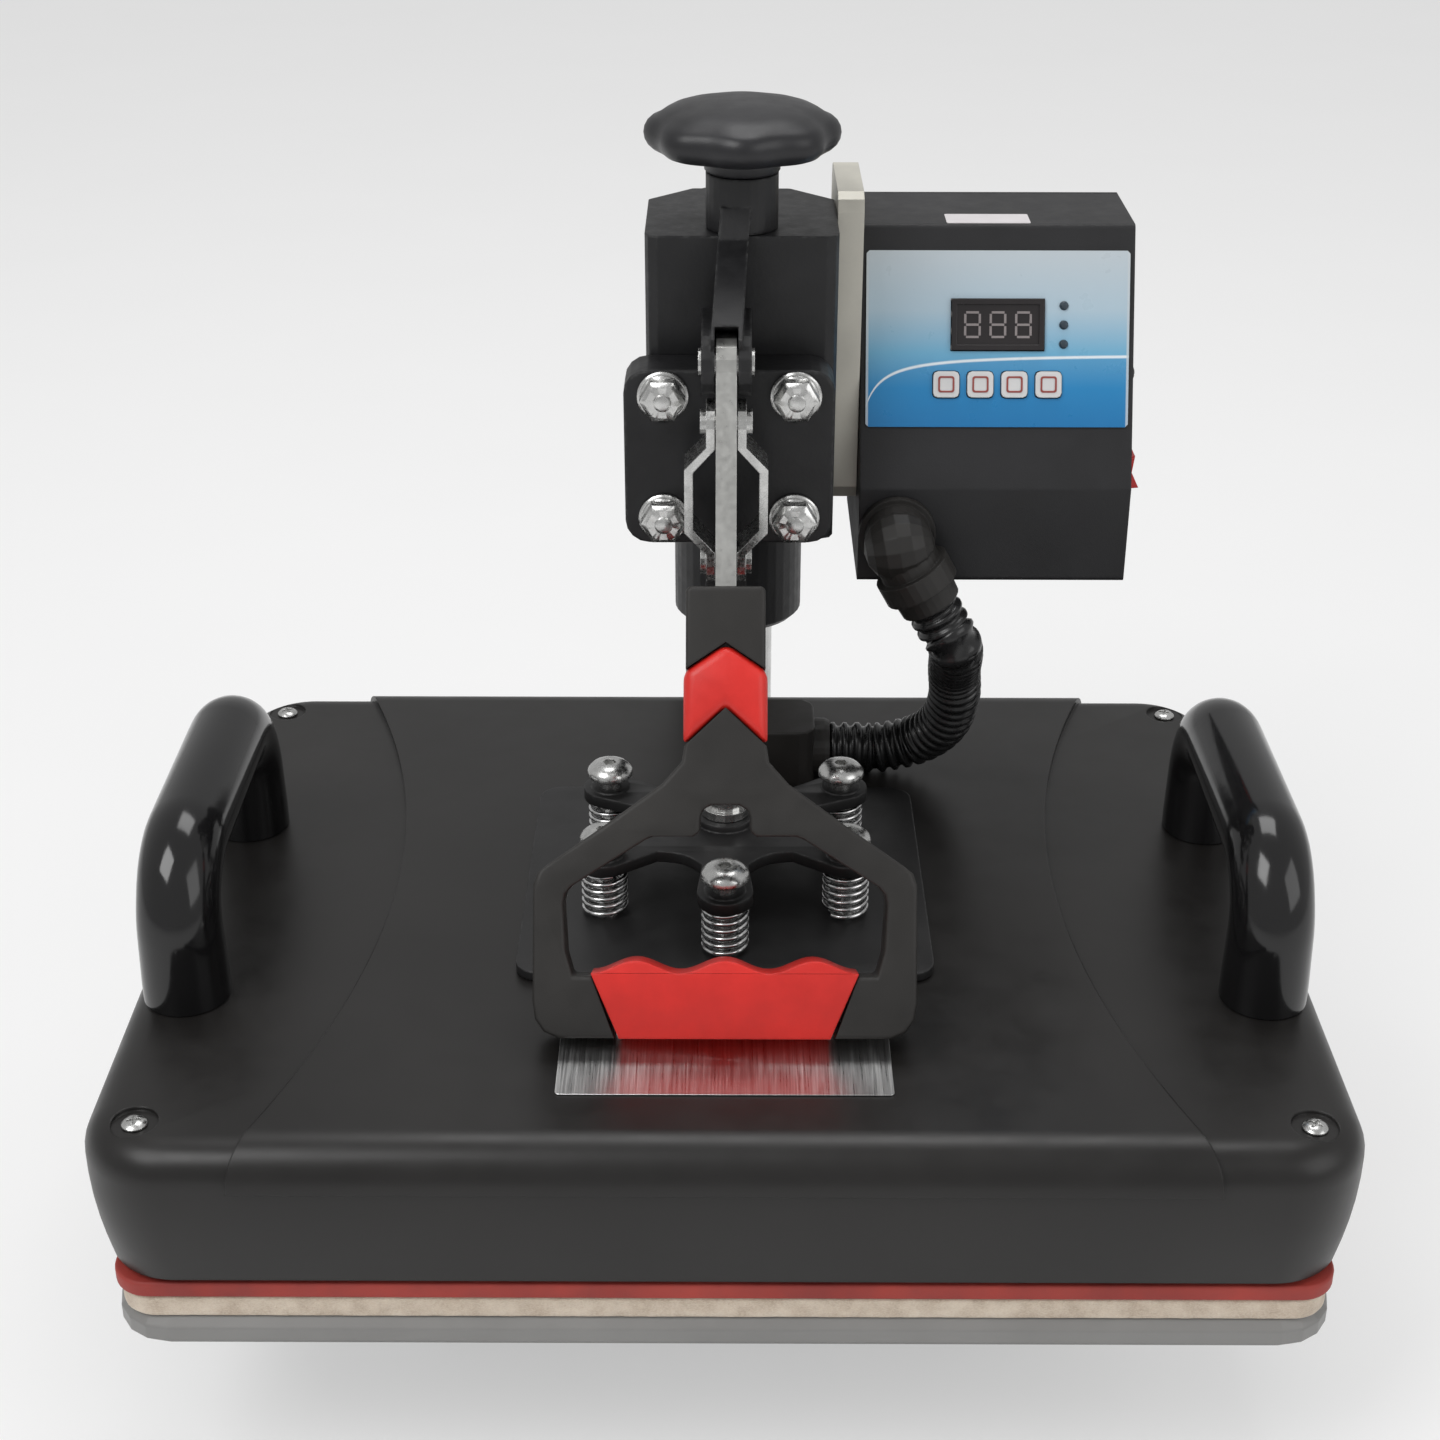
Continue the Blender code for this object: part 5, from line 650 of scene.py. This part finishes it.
def pad_layer(name, node, material, edge, swell):
    """A soft layer with full round edges, whose side swells outwards unevenly."""
    low, high = (Vector(corner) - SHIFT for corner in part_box(node))
    outline = rounded_rectangle((high.x - low.x) / 2, (high.y - low.y) / 2, 0.0120, 14)
    path = [Vector((x, y, 0)) for x, y in outline]
    line = even_points(path + path[:1], 0.0020)[0][:-1]
    rows = []
    for start, level in ((-90, low.z + edge), (0, high.z - edge)):
        for step in range(7):
            turn = math.radians(start + 15 * step)
            rows.append((edge * (1 - math.cos(turn)), level + edge * math.sin(turn)))
    rings = []
    for inset, height in rows:
        ring = []
        for index, point in enumerate(line):
            along = line[(index + 1) % len(line)] - line[index - 1]
            inward = Vector((-along.y, along.x, 0)).normalized()
            uneven = 0.5 + 0.5 * noise.noise(Vector((point.x * 260, point.y * 260, height * 700)))
            ring.append(point + inward * (inset - swell * uneven) + Vector((0, 0, height)))
        rings.append(ring)
    layer = piece(loft(name, rings), name, material, "base", [node], 50)


# Cover and what stands on it


def cover_ring(inset, height):
    outline = rounded_rectangle(COVER_HALF_WIDTH - inset, COVER_HALF_DEPTH - inset,
                                COVER_CORNER - inset, 14)
    return [(x, y, height) for x, y in outline]


def cover_skin(grow):
    """The cover's outside, moved out by grow: drafted sides and a round top edge."""
    radius = COVER_TOP_ROUND
    rings = []
    for share in (0.0, 0.25, 0.5, 0.75, 1.0):
        inset = COVER_DRAFT * (1 - share) ** 1.7
        rings.append(cover_ring(inset - grow, COVER_BOTTOM + COVER_DRAFT_HEIGHT * share))
    for index in range(11):
        turn = math.pi / 2 * index / 10
        inset = radius * (1 - math.cos(turn)) - grow * math.cos(turn)
        rings.append(cover_ring(inset, COVER_TOP - radius + (radius + grow) * math.sin(turn)))
    return loft("cover_skin", rings)


def make_cover():
    cover = cover_skin(0)
    edge = []
    for index in range(41):
        share = 2 * index / 40 - 1
        edge.append((0.1170 + 0.0330 * share ** 2, 0.1590 * share))
    outline = edge + [(-x, y) for x, y in reversed(edge)]
    zone = prism("zone", [outline], 0.0175, flat_at(0.13895))
    raised = boolean(cover_skin(PANEL_RISE), zone, "INTERSECT")
    cover = boolean(cover, raised, "UNION")
    hollow = loft("hollow", [
        [(x, y, 0.0896) for x, y in rounded_rectangle(0.1910, 0.1490, 0.0210, 14)],
        [(x, y, 0.1300) for x, y in rounded_rectangle(0.1910, 0.1490, 0.0210, 14)],
        [(x, y, 0.1392) for x, y in rounded_rectangle(0.1860, 0.1440, 0.0160, 14)],
    ])
    cover = boolean(cover, hollow, "DIFFERENCE")
    for x in (-SCREW_X, SCREW_X):
        for y in (-SCREW_Y, SCREW_Y):
            well = turned("well", [(0, 0.004), (0.0078, 0.004), (0.0072, -0.0013), (0, -0.0013)],
                          (x, y, COVER_TOP))
            cover = boolean(cover, well, "DIFFERENCE")
    piece(cover, "cover_shell", COVER_BLACK, "platen", ["platen_cover"], 24)


def pan_screw(name, place, axis, radius, height, material, body, turn=0.3):
    """A pan-head screw with a cross recess."""
    profile = [(0, height), (radius * 0.45, height * 0.97), (radius * 0.80, height * 0.72),
               (radius, height * 0.30), (radius, 0), (radius * 0.5, 0), (radius * 0.5, -height),
               (0, -height)]
    head = turned("head", profile)
    for angle in (turn, turn + math.pi / 2):
        outline = [(-radius * 0.56, -radius * 0.11), (radius * 0.56, -radius * 0.11),
                   (radius * 0.56, radius * 0.11), (-radius * 0.56, radius * 0.11)]
        matrix = Matrix.Translation((0, 0, height * 0.95)) @ Matrix.Rotation(angle, 4, "Z")
        head = boolean(head, prism("cross", [outline], height * 0.9, matrix), "DIFFERENCE")
    rotation = Vector((0, 0, 1)).rotation_difference(Vector(axis)).to_matrix().to_4x4()
    head.data.transform(Matrix.Translation(place) @ rotation)
    return piece(head, name, material, body)


def make_cover_screws():
    for name, x, y, turn in (
        ("front_left", -SCREW_X, -SCREW_Y, 0.2),
        ("front_right", SCREW_X, -SCREW_Y, 0.9),
        ("back_left", -SCREW_X, SCREW_Y, 0.5),
        ("back_right", SCREW_X, SCREW_Y, 1.2),
    ):
        pan_screw("cover_screw_" + name, (x, y, COVER_TOP - 0.0011), (0, 0, 1), 0.0040, 0.0019,
                  ZINC, "platen", turn)


def make_side_handles():
    low = COVER_TOP + GAP
    axis = COVER_TOP + HANDLE_RISE
    bend = HANDLE_BEND
    leg = axis - bend - low
    for name, side in (("left", -1), ("right", 1)):
        x = side * HANDLE_X
        path = [(HANDLE_FRONT, low + leg * step / 4) for step in range(4)]
        path += arc((HANDLE_FRONT + bend, axis - bend), bend, 180, 90, 14)
        path += arc((HANDLE_BACK - bend, axis - bend), bend, 90, 0, 14)
        path += [(HANDLE_BACK, low + leg * (3 - step) / 4) for step in range(4)]
        radii = []
        for y, z in path:
            radii.append(0.0135 + 0.0008 * max(0.0, min(1.0, (axis - 0.012 - z) / 0.030)))
        points = [Vector((x, y, z)) for y, z in path]
        bow = tube("bow", points, 1.0, 48, radii)
        for vert in bow.data.vertices:
            if abs(vert.co.x - x) < 0.0004:
                vert.co.x = x
        piece(bow, "side_handle_bow_" + name, GLOSS_BLACK, "platen",
              ["side_handle_" + name], 60)


def stud_places():
    turns = [math.tau * index / STUD_COUNT + math.pi / 2 for index in range(STUD_COUNT)]
    return [(STUD_CIRCLE * math.cos(turn), STUD_CIRCLE * math.sin(turn)) for turn in turns]


def make_spring_stack():
    low = PANEL_TOP + GAP
    plate = prism("plate", [rounded_rectangle(0.0700, 0.0640, 0.0080, 10)], 0.0032,
                  flat_at(low + 0.0016), 0.0009, 3)
    piece(plate, "spring_base", BLACK_PAINT, "platen", ["spring_plate"])
    head = STUD_HEAD
    for index, (x, y) in enumerate(stud_places()):
        profile = [
            (0, head + 0.0052), (0.0040, head + 0.0051), (0.0064, head + 0.0042),
            (0.0078, head + 0.0027), (0.0082, head + 0.0018), (0.0082, head + 0.0006),
            (0.0077, head), (0.0040, head), (0.0040, low + 0.0038), (0.0058, low + 0.0038),
            (0.0058, low + 0.0030), (0, low + 0.0030),
        ]
        stud = turned("stud", profile, (x, y, 0))
        socket = turned("socket", [(0, 0.010), (0.0024, 0.010), (0.0024, 0), (0, 0)],
                        (x, y, head + 0.0030), steps=6)
        stud = boolean(stud, socket, "DIFFERENCE")
        piece(stud, "shoulder_stud_" + str(index + 1), ZINC, "platen")


def make_springs():
    bottom = 0.1479 + GAP + WIRE_RADIUS
    top = 0.1662 - GAP - WIRE_RADIUS
    per_turn = 28
    for number, (x, y) in enumerate(stud_places()):
        points = []
        count = int(COIL_TURNS * per_turn)
        for index in range(count + 1):
            share = index / count
            turn = math.tau * COIL_TURNS * share + number
            points.append(Vector((x + COIL_RADIUS * math.cos(turn),
                                  y + COIL_RADIUS * math.sin(turn),
                                  bottom + (top - bottom) * share)))
        name = "spring_" + str(number + 1)
        coil = tube("coil", points, WIRE_RADIUS, 12)
        coil = piece(coil, "coil_" + str(number + 1), SPRING_WIRE, None, [name], 60)
        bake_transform(coil)


def spider_outline():
    outline = []
    for index in range(STUD_COUNT):
        turn = math.tau * index / STUD_COUNT + math.pi / 2
        degrees = math.degrees(turn)
        centre = (STUD_CIRCLE * math.cos(turn), STUD_CIRCLE * math.sin(turn))
        outline += arc(centre, 0.0095, degrees - 85, degrees + 85, 16)
        for step in range(1, 12):
            share = 0.18 + 0.64 * step / 12
            away = abs(share - 0.5) / 0.5
            reach = 0.0285 + 0.0195 * away ** 2 * 0.7
            between = turn + math.pi / 3 * share
            outline.append((reach * math.cos(between), reach * math.sin(between)))
    return outline


def circle(centre, radius, steps=28):
    return [(centre[0] + radius * math.cos(math.tau * step / steps),
             centre[1] + radius * math.sin(math.tau * step / steps)) for step in range(steps)]


def make_spider():
    holes = [circle(place, 0.0043) for place in stud_places()] + [circle((0, 0), 0.0071)]
    plate = prism("plate", [spider_outline()] + holes, 0.0042, flat_at(0.1683), 0.0006, 2)
    hub = turned("hub", [(0.0088, 0.1734), (0.0102, 0.1730), (0.0105, 0.1724), (0.0105, 0.1702),
                         (0.0120, 0.1698), (0.0088, 0.1698)])
    for x, y in stud_places():
        profile = [(0.0062, 0.17085), (0.0068, 0.1707), (0.0070, 0.1702), (0.0060, 0.1702)]
        rim = turned("rim", profile, (x, y, 0))
        hub = combine("hub", hub, rim)
    piece(combine("spider", plate, hub), "spider", BLACK_PAINT, "pusher",
          ["spider_plate"])


def make_label():
    plate = prism("label", [rounded_rectangle(0.0525, 0.0183, 0.0015, 4)], 0.0005,
                  Matrix.Translation((0.0, -0.1085, PANEL_TOP + 0.00035)), 0.0001, 1)
    piece(plate, "bare_label_plate", LABEL, "platen")


# Lever


def make_lever():
    outer = [
        (0.0118, 0.0720), (0.0126, 0.0735), (0.0126, 0.1200), (0.0138, 0.1275), (0.0200, 0.1345),
        (0.0380, 0.1475), (0.0560, 0.1600), (0.0592, 0.1625), (0.0604, 0.1660), (0.0605, 0.1700),
        (0.0605, 0.2030), (0.0597, 0.2085), (0.0570, 0.2125), (0.0525, 0.2145),
    ]
    inner = [
        (0.0040, 0.1410), (0.0070, 0.1425), (0.0078, 0.1450), (0.0078, 0.1495), (0.0100, 0.1510),
        (0.0225, 0.1510), (0.0250, 0.1520), (0.0480, 0.1665), (0.0503, 0.1690), (0.0510, 0.1720),
        (0.0500, 0.1880), (0.0480, 0.1950),
    ]
    frame_piece = prism("frame", [mirrored(outer), mirrored(inner)], 0.0160, lever_at(), 0.0042, 5)
    # The grip's own wavy outline is cut out of the loop, with a hair's gap to it.
    grip_gap = prism("gap", [grip_outline(GAP, 0.003)], 0.0260, lever_at())
    frame_piece = boolean(frame_piece, grip_gap, "DIFFERENCE")
    band_gap = prism("gap", [band_outline(GAP, 0.0156)], 0.0260, lever_at())
    frame_piece = boolean(frame_piece, band_gap, "DIFFERENCE")
    core = prism("core", [mirrored([(0.0085, 0.0836), (0.0085, 0.1248)])], 0.0100, lever_at())
    grip_core = prism("core", [mirrored([(0.0452, 0.1993), (0.0452, 0.2093)])], 0.0080, lever_at())
    frame_piece = combine("handle", frame_piece, core, grip_core)
    piece(frame_piece, "lever_yoke", MATTE_BLACK, "lever", ["lever_handle"], 35)
    band = prism("band", [band_outline(0, 0.0133)], 0.0174, lever_at(), 0.0034, 4)
    piece(band, "chevron", RED, "lever", ["chevron_band"], 35)
    grip = prism("grip", [grip_outline(0, 0)], 0.0176, lever_at(), 0.0030, 4)
    piece(grip, "grip_sleeve", RED, "lever", ["finger_grip"], 35)


def band_outline(grow, side):
    share = side / 0.0126
    high = 0.0900 + 0.0084 * share
    low = 0.1100 + 0.0118 * share
    return mirrored([(0, 0.0900 - grow), (side, high - grow), (side, low + grow),
                     (0, 0.1100 + grow)])


def grip_outline(grow, over):
    top = []
    half = 0.0422 + grow
    for index in range(49):
        share = index / 48
        wave = 0.0020 * math.cos(math.tau * (3 * share + 0.5))
        top.append((half - 2 * half * share, 0.1920 - wave - grow))
    bottom = 0.2145 + grow + over
    return top + [(-0.0332 - grow, bottom), (0.0332 + grow, bottom)]


# Head, knob and bolts


def make_clamp_bolts():
    face = HEAD_FACE - GAP
    for name, x, z in (("upper_left", -0.0210, 0.3205), ("upper_right", 0.0230, 0.3205),
                       ("lower_left", -0.0210, 0.2775), ("lower_right", 0.0230, 0.2775)):
        washer = turned("washer", [(0.0034, 0.0016), (0.0079, 0.0016), (0.0085, 0.0011),
                                   (0.0085, 0.0003), (0.0083, 0.0), (0.0034, 0.0)],
                        (x, face, z), (0, -1, 0))
        seat = (x, face - 0.0016, z)
        profile = [(0, 0.0060), (0.0060, 0.0060), (0.0076, 0.0047), (0.0076, 0.0), (0, 0)]
        nut = turned("nut", profile, seat, (0, -1, 0), 6)
        profile = [(0, 0.0060), (0.0055, 0.0060), (0.0078, 0.0046), (0.0090, 0), (0, 0)]
        nut = boolean(nut, turned("cone", profile, seat, (0, -1, 0)), "INTERSECT")
        profile = [(0, 0.0014), (0.0066, 0.0014), (0.0075, 0.0006), (0.0075, 0), (0, 0)]
        flange = turned("flange", profile, seat, (0, -1, 0))
        rings = []
        steps = 40
        for row in range(60):
            height = 0.0072 - 0.0190 * row / 59
            ring = []
            for step in range(steps):
                phase = (height / 0.0010 + step / steps) % 1.0
                reach = 0.00265 + 0.00032 * abs(2 * phase - 1)
                if row == 0:
                    reach *= 0.75
                ring.append((reach * math.cos(math.tau * step / steps),
                             reach * math.sin(math.tau * step / steps), height))
            rings.append(ring)
        shank = loft("shank", list(reversed(rings)))
        rotation = Vector((0, 0, 1)).rotation_difference(Vector((0, -1, 0))).to_matrix().to_4x4()
        shank.data.transform(Matrix.Translation(seat) @ rotation)
        bolt = combine("bolt", washer, nut, flange, shank)
        piece(bolt, "clamp_bolt_fine_" + name, ZINC, "arm", ["clamp_bolt_" + name])


def make_knob():
    centre = Vector((ARM_X, KNOB_Y, 0))
    steps = 192

    def star(radius, height, lobe):
        ring = []
        for index in range(steps):
            turn = math.tau * index / steps
            wave = math.cos(8 * turn)
            reach = radius + lobe * (wave if wave > -0.2 else wave * 1.15 + 0.03)
            ring.append(centre + Vector((reach * math.cos(turn), reach * math.sin(turn), height)))
        return ring

    rings = [star(0.0118, 0.38765, 0), star(0.0125, 0.3884, 0), star(0.0125, 0.3935, 0),
             star(0.0150, 0.3949, 0), star(0.0250, 0.3952, 0.0003)]
    for index in range(9):
        turn = math.radians(-80 + 160 * index / 8)
        rings.append(star(0.0262 + 0.0049 * math.cos(turn), 0.40025 + 0.0057 * math.sin(turn),
                          0.0011 * (0.5 + 0.5 * math.cos(turn))))
    for share, rise in ((0.80, 0.30), (0.66, 0.62), (0.52, 0.80), (0.36, 0.93), (0.18, 0.99),
                        (0.02, 1.0)):
        rings.append(star(0.0312 * share, 0.4060 + 0.0044 * rise, 0.0004 * share))
    knob = loft("knob", rings)
    piece(knob, "star_knob", KNOB_BLACK, "knob", ["pressure_knob"], 50)


# Control box


def make_panel_details():
    face = 0.0009
    for index, up in enumerate((0.0632, 0.0566, 0.0500)):
        profile = [(0, 0.0012), (0.0010, 0.0010), (0.0015, 0.0005), (0.0016, 0), (0, 0)]
        lamp = turned("lamp", profile)
        lamp.data.transform(panel_at(BOX_MIDDLE + 0.0228, up, face))
        piece(lamp, "panel_lamp_" + str(index + 1), LED_DARK, "arm")
    # Three unlit figures behind the window
    top = 0.0009 + 0.0012 - 0.0008
    for index in range(3):
        x = BOX_MIDDLE + (index - 1) * FIGURE_PITCH
        bars = []
        half = FIGURE_HALF_WIDTH
        tall = FIGURE_HALF_HEIGHT
        places = [(0, b, half, BAR_HALF) for b in (tall, 0, -tall)]
        places += [(a, b, BAR_HALF, tall / 2 - 0.0005)
                   for a in (half + 0.0003, -half - 0.0003) for b in (tall / 2, -tall / 2)]
        for a, b, wide, high in places:
            outline = [(a - wide, b - high), (a + wide, b - high), (a + wide, b + high),
                       (a - wide, b + high)]
            bars.append(prism("bar", [outline], 0.0003, panel_at(x, DISPLAY_UP, top + 0.00005)))
        piece(combine("figure", *bars), "display_figure_" + str(index + 1), SEGMENT, "arm")
    for index in range(4):
        x = BOX_MIDDLE + (index - 1.5) * KEY_PITCH
        outline = rounded_rectangle(0.0028, 0.0028, 0.0009, 4)
        inner = rounded_rectangle(0.0022, 0.0022, 0.0006, 4)
        mark = prism("mark", [outline, inner], 0.0003, panel_at(x, KEY_UP, 0.0021 + 0.0001))
        piece(mark, "key_mark_" + str(index + 1), KEY_MARK, "key_" + str(index + 1))
    sticker = prism("sticker", [rounded_rectangle(0.0145, 0.0058, 0.0006, 2)], 0.0002,
                    Matrix.Translation((0.0905, 0.0870, 0.3611)))
    piece(sticker, "blank_sticker", PAPER, "arm")


def make_box_screws():
    for index, (y, z) in enumerate(((0.1100, 0.3500), (0.1140, 0.2560))):
        pan_screw("box_side_screw_" + str(index + 1), (BOX_SIDE, y, z), (1, 0, 0), 0.0030,
                  0.0018, DARK_STEEL, "arm", 0.4 + index)
    pan_screw("box_front_side_screw", (BOX_SIDE, 0.0700, 0.3110), (1, 0, 0), 0.0032, 0.0020,
              DARK_STEEL, "arm", 0.1)
    for index, (x, z) in enumerate(((0.0520, 0.3545), (0.1355, 0.3545), (0.0520, 0.2485),
                                    (0.1355, 0.2485))):
        pan_screw("box_back_screw_" + str(index + 1), (x, 0.1239, z), (0, 1, 0), 0.0028, 0.0016,
                  DARK_STEEL, "arm", 0.3 * index)
    for index, z in enumerate((0.2520, 0.2720)):
        x = 0.0700 + (index * 2 - 1) * 0.0165
        pan_screw("inlet_screw_" + str(index + 1), (x, 0.1270, 0.2620), (0, 1, 0), 0.0022, 0.0012,
                  DARK_STEEL, "arm", 0.3)


# Hose


def smooth_path(points, per_span):
    ends = [points[0] * 2 - points[1]] + points + [points[-1] * 2 - points[-2]]
    result = []
    for index in range(1, len(ends) - 2):
        a, b, c, d = ends[index - 1:index + 3]
        for step in range(per_span):
            t = step / per_span
            result.append(0.5 * (2 * b + (c - a) * t + (2 * a - 5 * b + 4 * c - d) * t ** 2
                                 + (3 * b - a - 3 * c + d) * t ** 3))
    result.append(points[-1])
    return result


def even_points(path, spacing):
    lengths = [0.0]
    for first, second in zip(path, path[1:]):
        lengths.append(lengths[-1] + (second - first).length)
    count = max(2, round(lengths[-1] / spacing))
    result = []
    place = 0
    for index in range(count + 1):
        goal = lengths[-1] * index / count
        while place < len(lengths) - 2 and lengths[place + 1] < goal:
            place += 1
        span = lengths[place + 1] - lengths[place]
        result.append(path[place].lerp(path[place + 1], (goal - lengths[place]) / span))
    return result, lengths[-1]


def hose_route():
    axis = Vector((math.sin(ELBOW_LEAN), 0, -math.cos(ELBOW_LEAN)))
    centre = Vector((0.0600, 0.0450 - GAP - 0.0030 - 0.0105, 0.2610))
    start = centre + axis * (0.0240 + GAP)
    end = Vector((0.0340 + 0.0060 + GAP, 0.0840, 0.1547))
    straight = 0.0194
    return [
        start,
        start + axis * straight / 2,
        start + axis * straight,
        Vector((0.0835, 0.0520, 0.2040)),
        Vector((0.0850, 0.0620, 0.1880)),
        Vector((0.0825, 0.0720, 0.1720)),
        Vector((0.0740, 0.0810, 0.1600)),
        end + Vector((straight, 0, 0)),
        end + Vector((straight / 2, 0, 0)),
        end,
    ]


def make_hose():
    route = smooth_path(hose_route(), 12)
    line, length = even_points(route, HOSE_RIB_PITCH / RINGS_PER_RIB)
    radii = []
    for index in range(len(line)):
        phase = math.cos(math.tau * index / RINGS_PER_RIB)
        crest = 1 / (1 + math.exp(-5 * phase))
        radii.append(HOSE_ROOT_RADIUS + HOSE_RIB * crest)
    hose = tube("hose", line, 1.0, 36, radii)
    hose = piece(hose, "corrugated_hose", HOSE_BLACK, None, ["hose"], 70)
    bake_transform(hose)


# Materials of the nodes that keep their solids


def dress_nodes():
    finishes = {
        BLACK_PAINT: ["base_plate", "column_flange", "platen_pedestal", "rod_guide"],
        CAST_BLACK: ["arm_casting", "head_housing", "toggle_bracket"],
        BOX_BLACK: ["control_box_shell", "control_box_back"],
        RUBBER: ["foot_front_left", "foot_front_right", "foot_back_left", "foot_back_right"],
        GROUND_STEEL: ["column", "press_rod", "pressure_screw"],
        ZINC: ["top_pivot_pin", "link_pin", "link_left", "link_right"],
        ROLLED_STEEL: ["lever_plate"],
        BRASS: ["head_nut"],
        BRONZE: ["thrust_washer"],
        GREY_PAINT: ["lower_platen"],
        ALUMINIUM: ["heat_platen"],
        PALE_STEEL: ["box_bracket"],
        PANEL: ["panel_overlay"],
        DARK_WINDOW: ["display_window"],
        KEY_WHITE: ["panel_key_1", "panel_key_2", "panel_key_3", "panel_key_4"],
        MATTE_BLACK: ["rocker_frame", "power_inlet", "hose_elbow", "hose_outlet"],
        ROCKER_RED: ["rocker_switch"],
    }
    for material, names in finishes.items():
        for name in names:
            node = NODES[name]
            node.data.materials.clear()
            node.data.materials.append(material)
            smooth(node)


make_camera()
make_studio()
dress_nodes()
pad_layer("felt_layer", "felt_pad", FELT, 0.0012, 0.0003)
pad_layer("silicone_layer", "silicone_mat", SILICONE, 0.0010, 0.0)
make_hose()
make_cover()
make_cover_screws()
make_side_handles()
make_spring_stack()
make_springs()
make_spider()
make_label()
make_lever()
make_clamp_bolts()
make_knob()
make_panel_details()
make_box_screws()
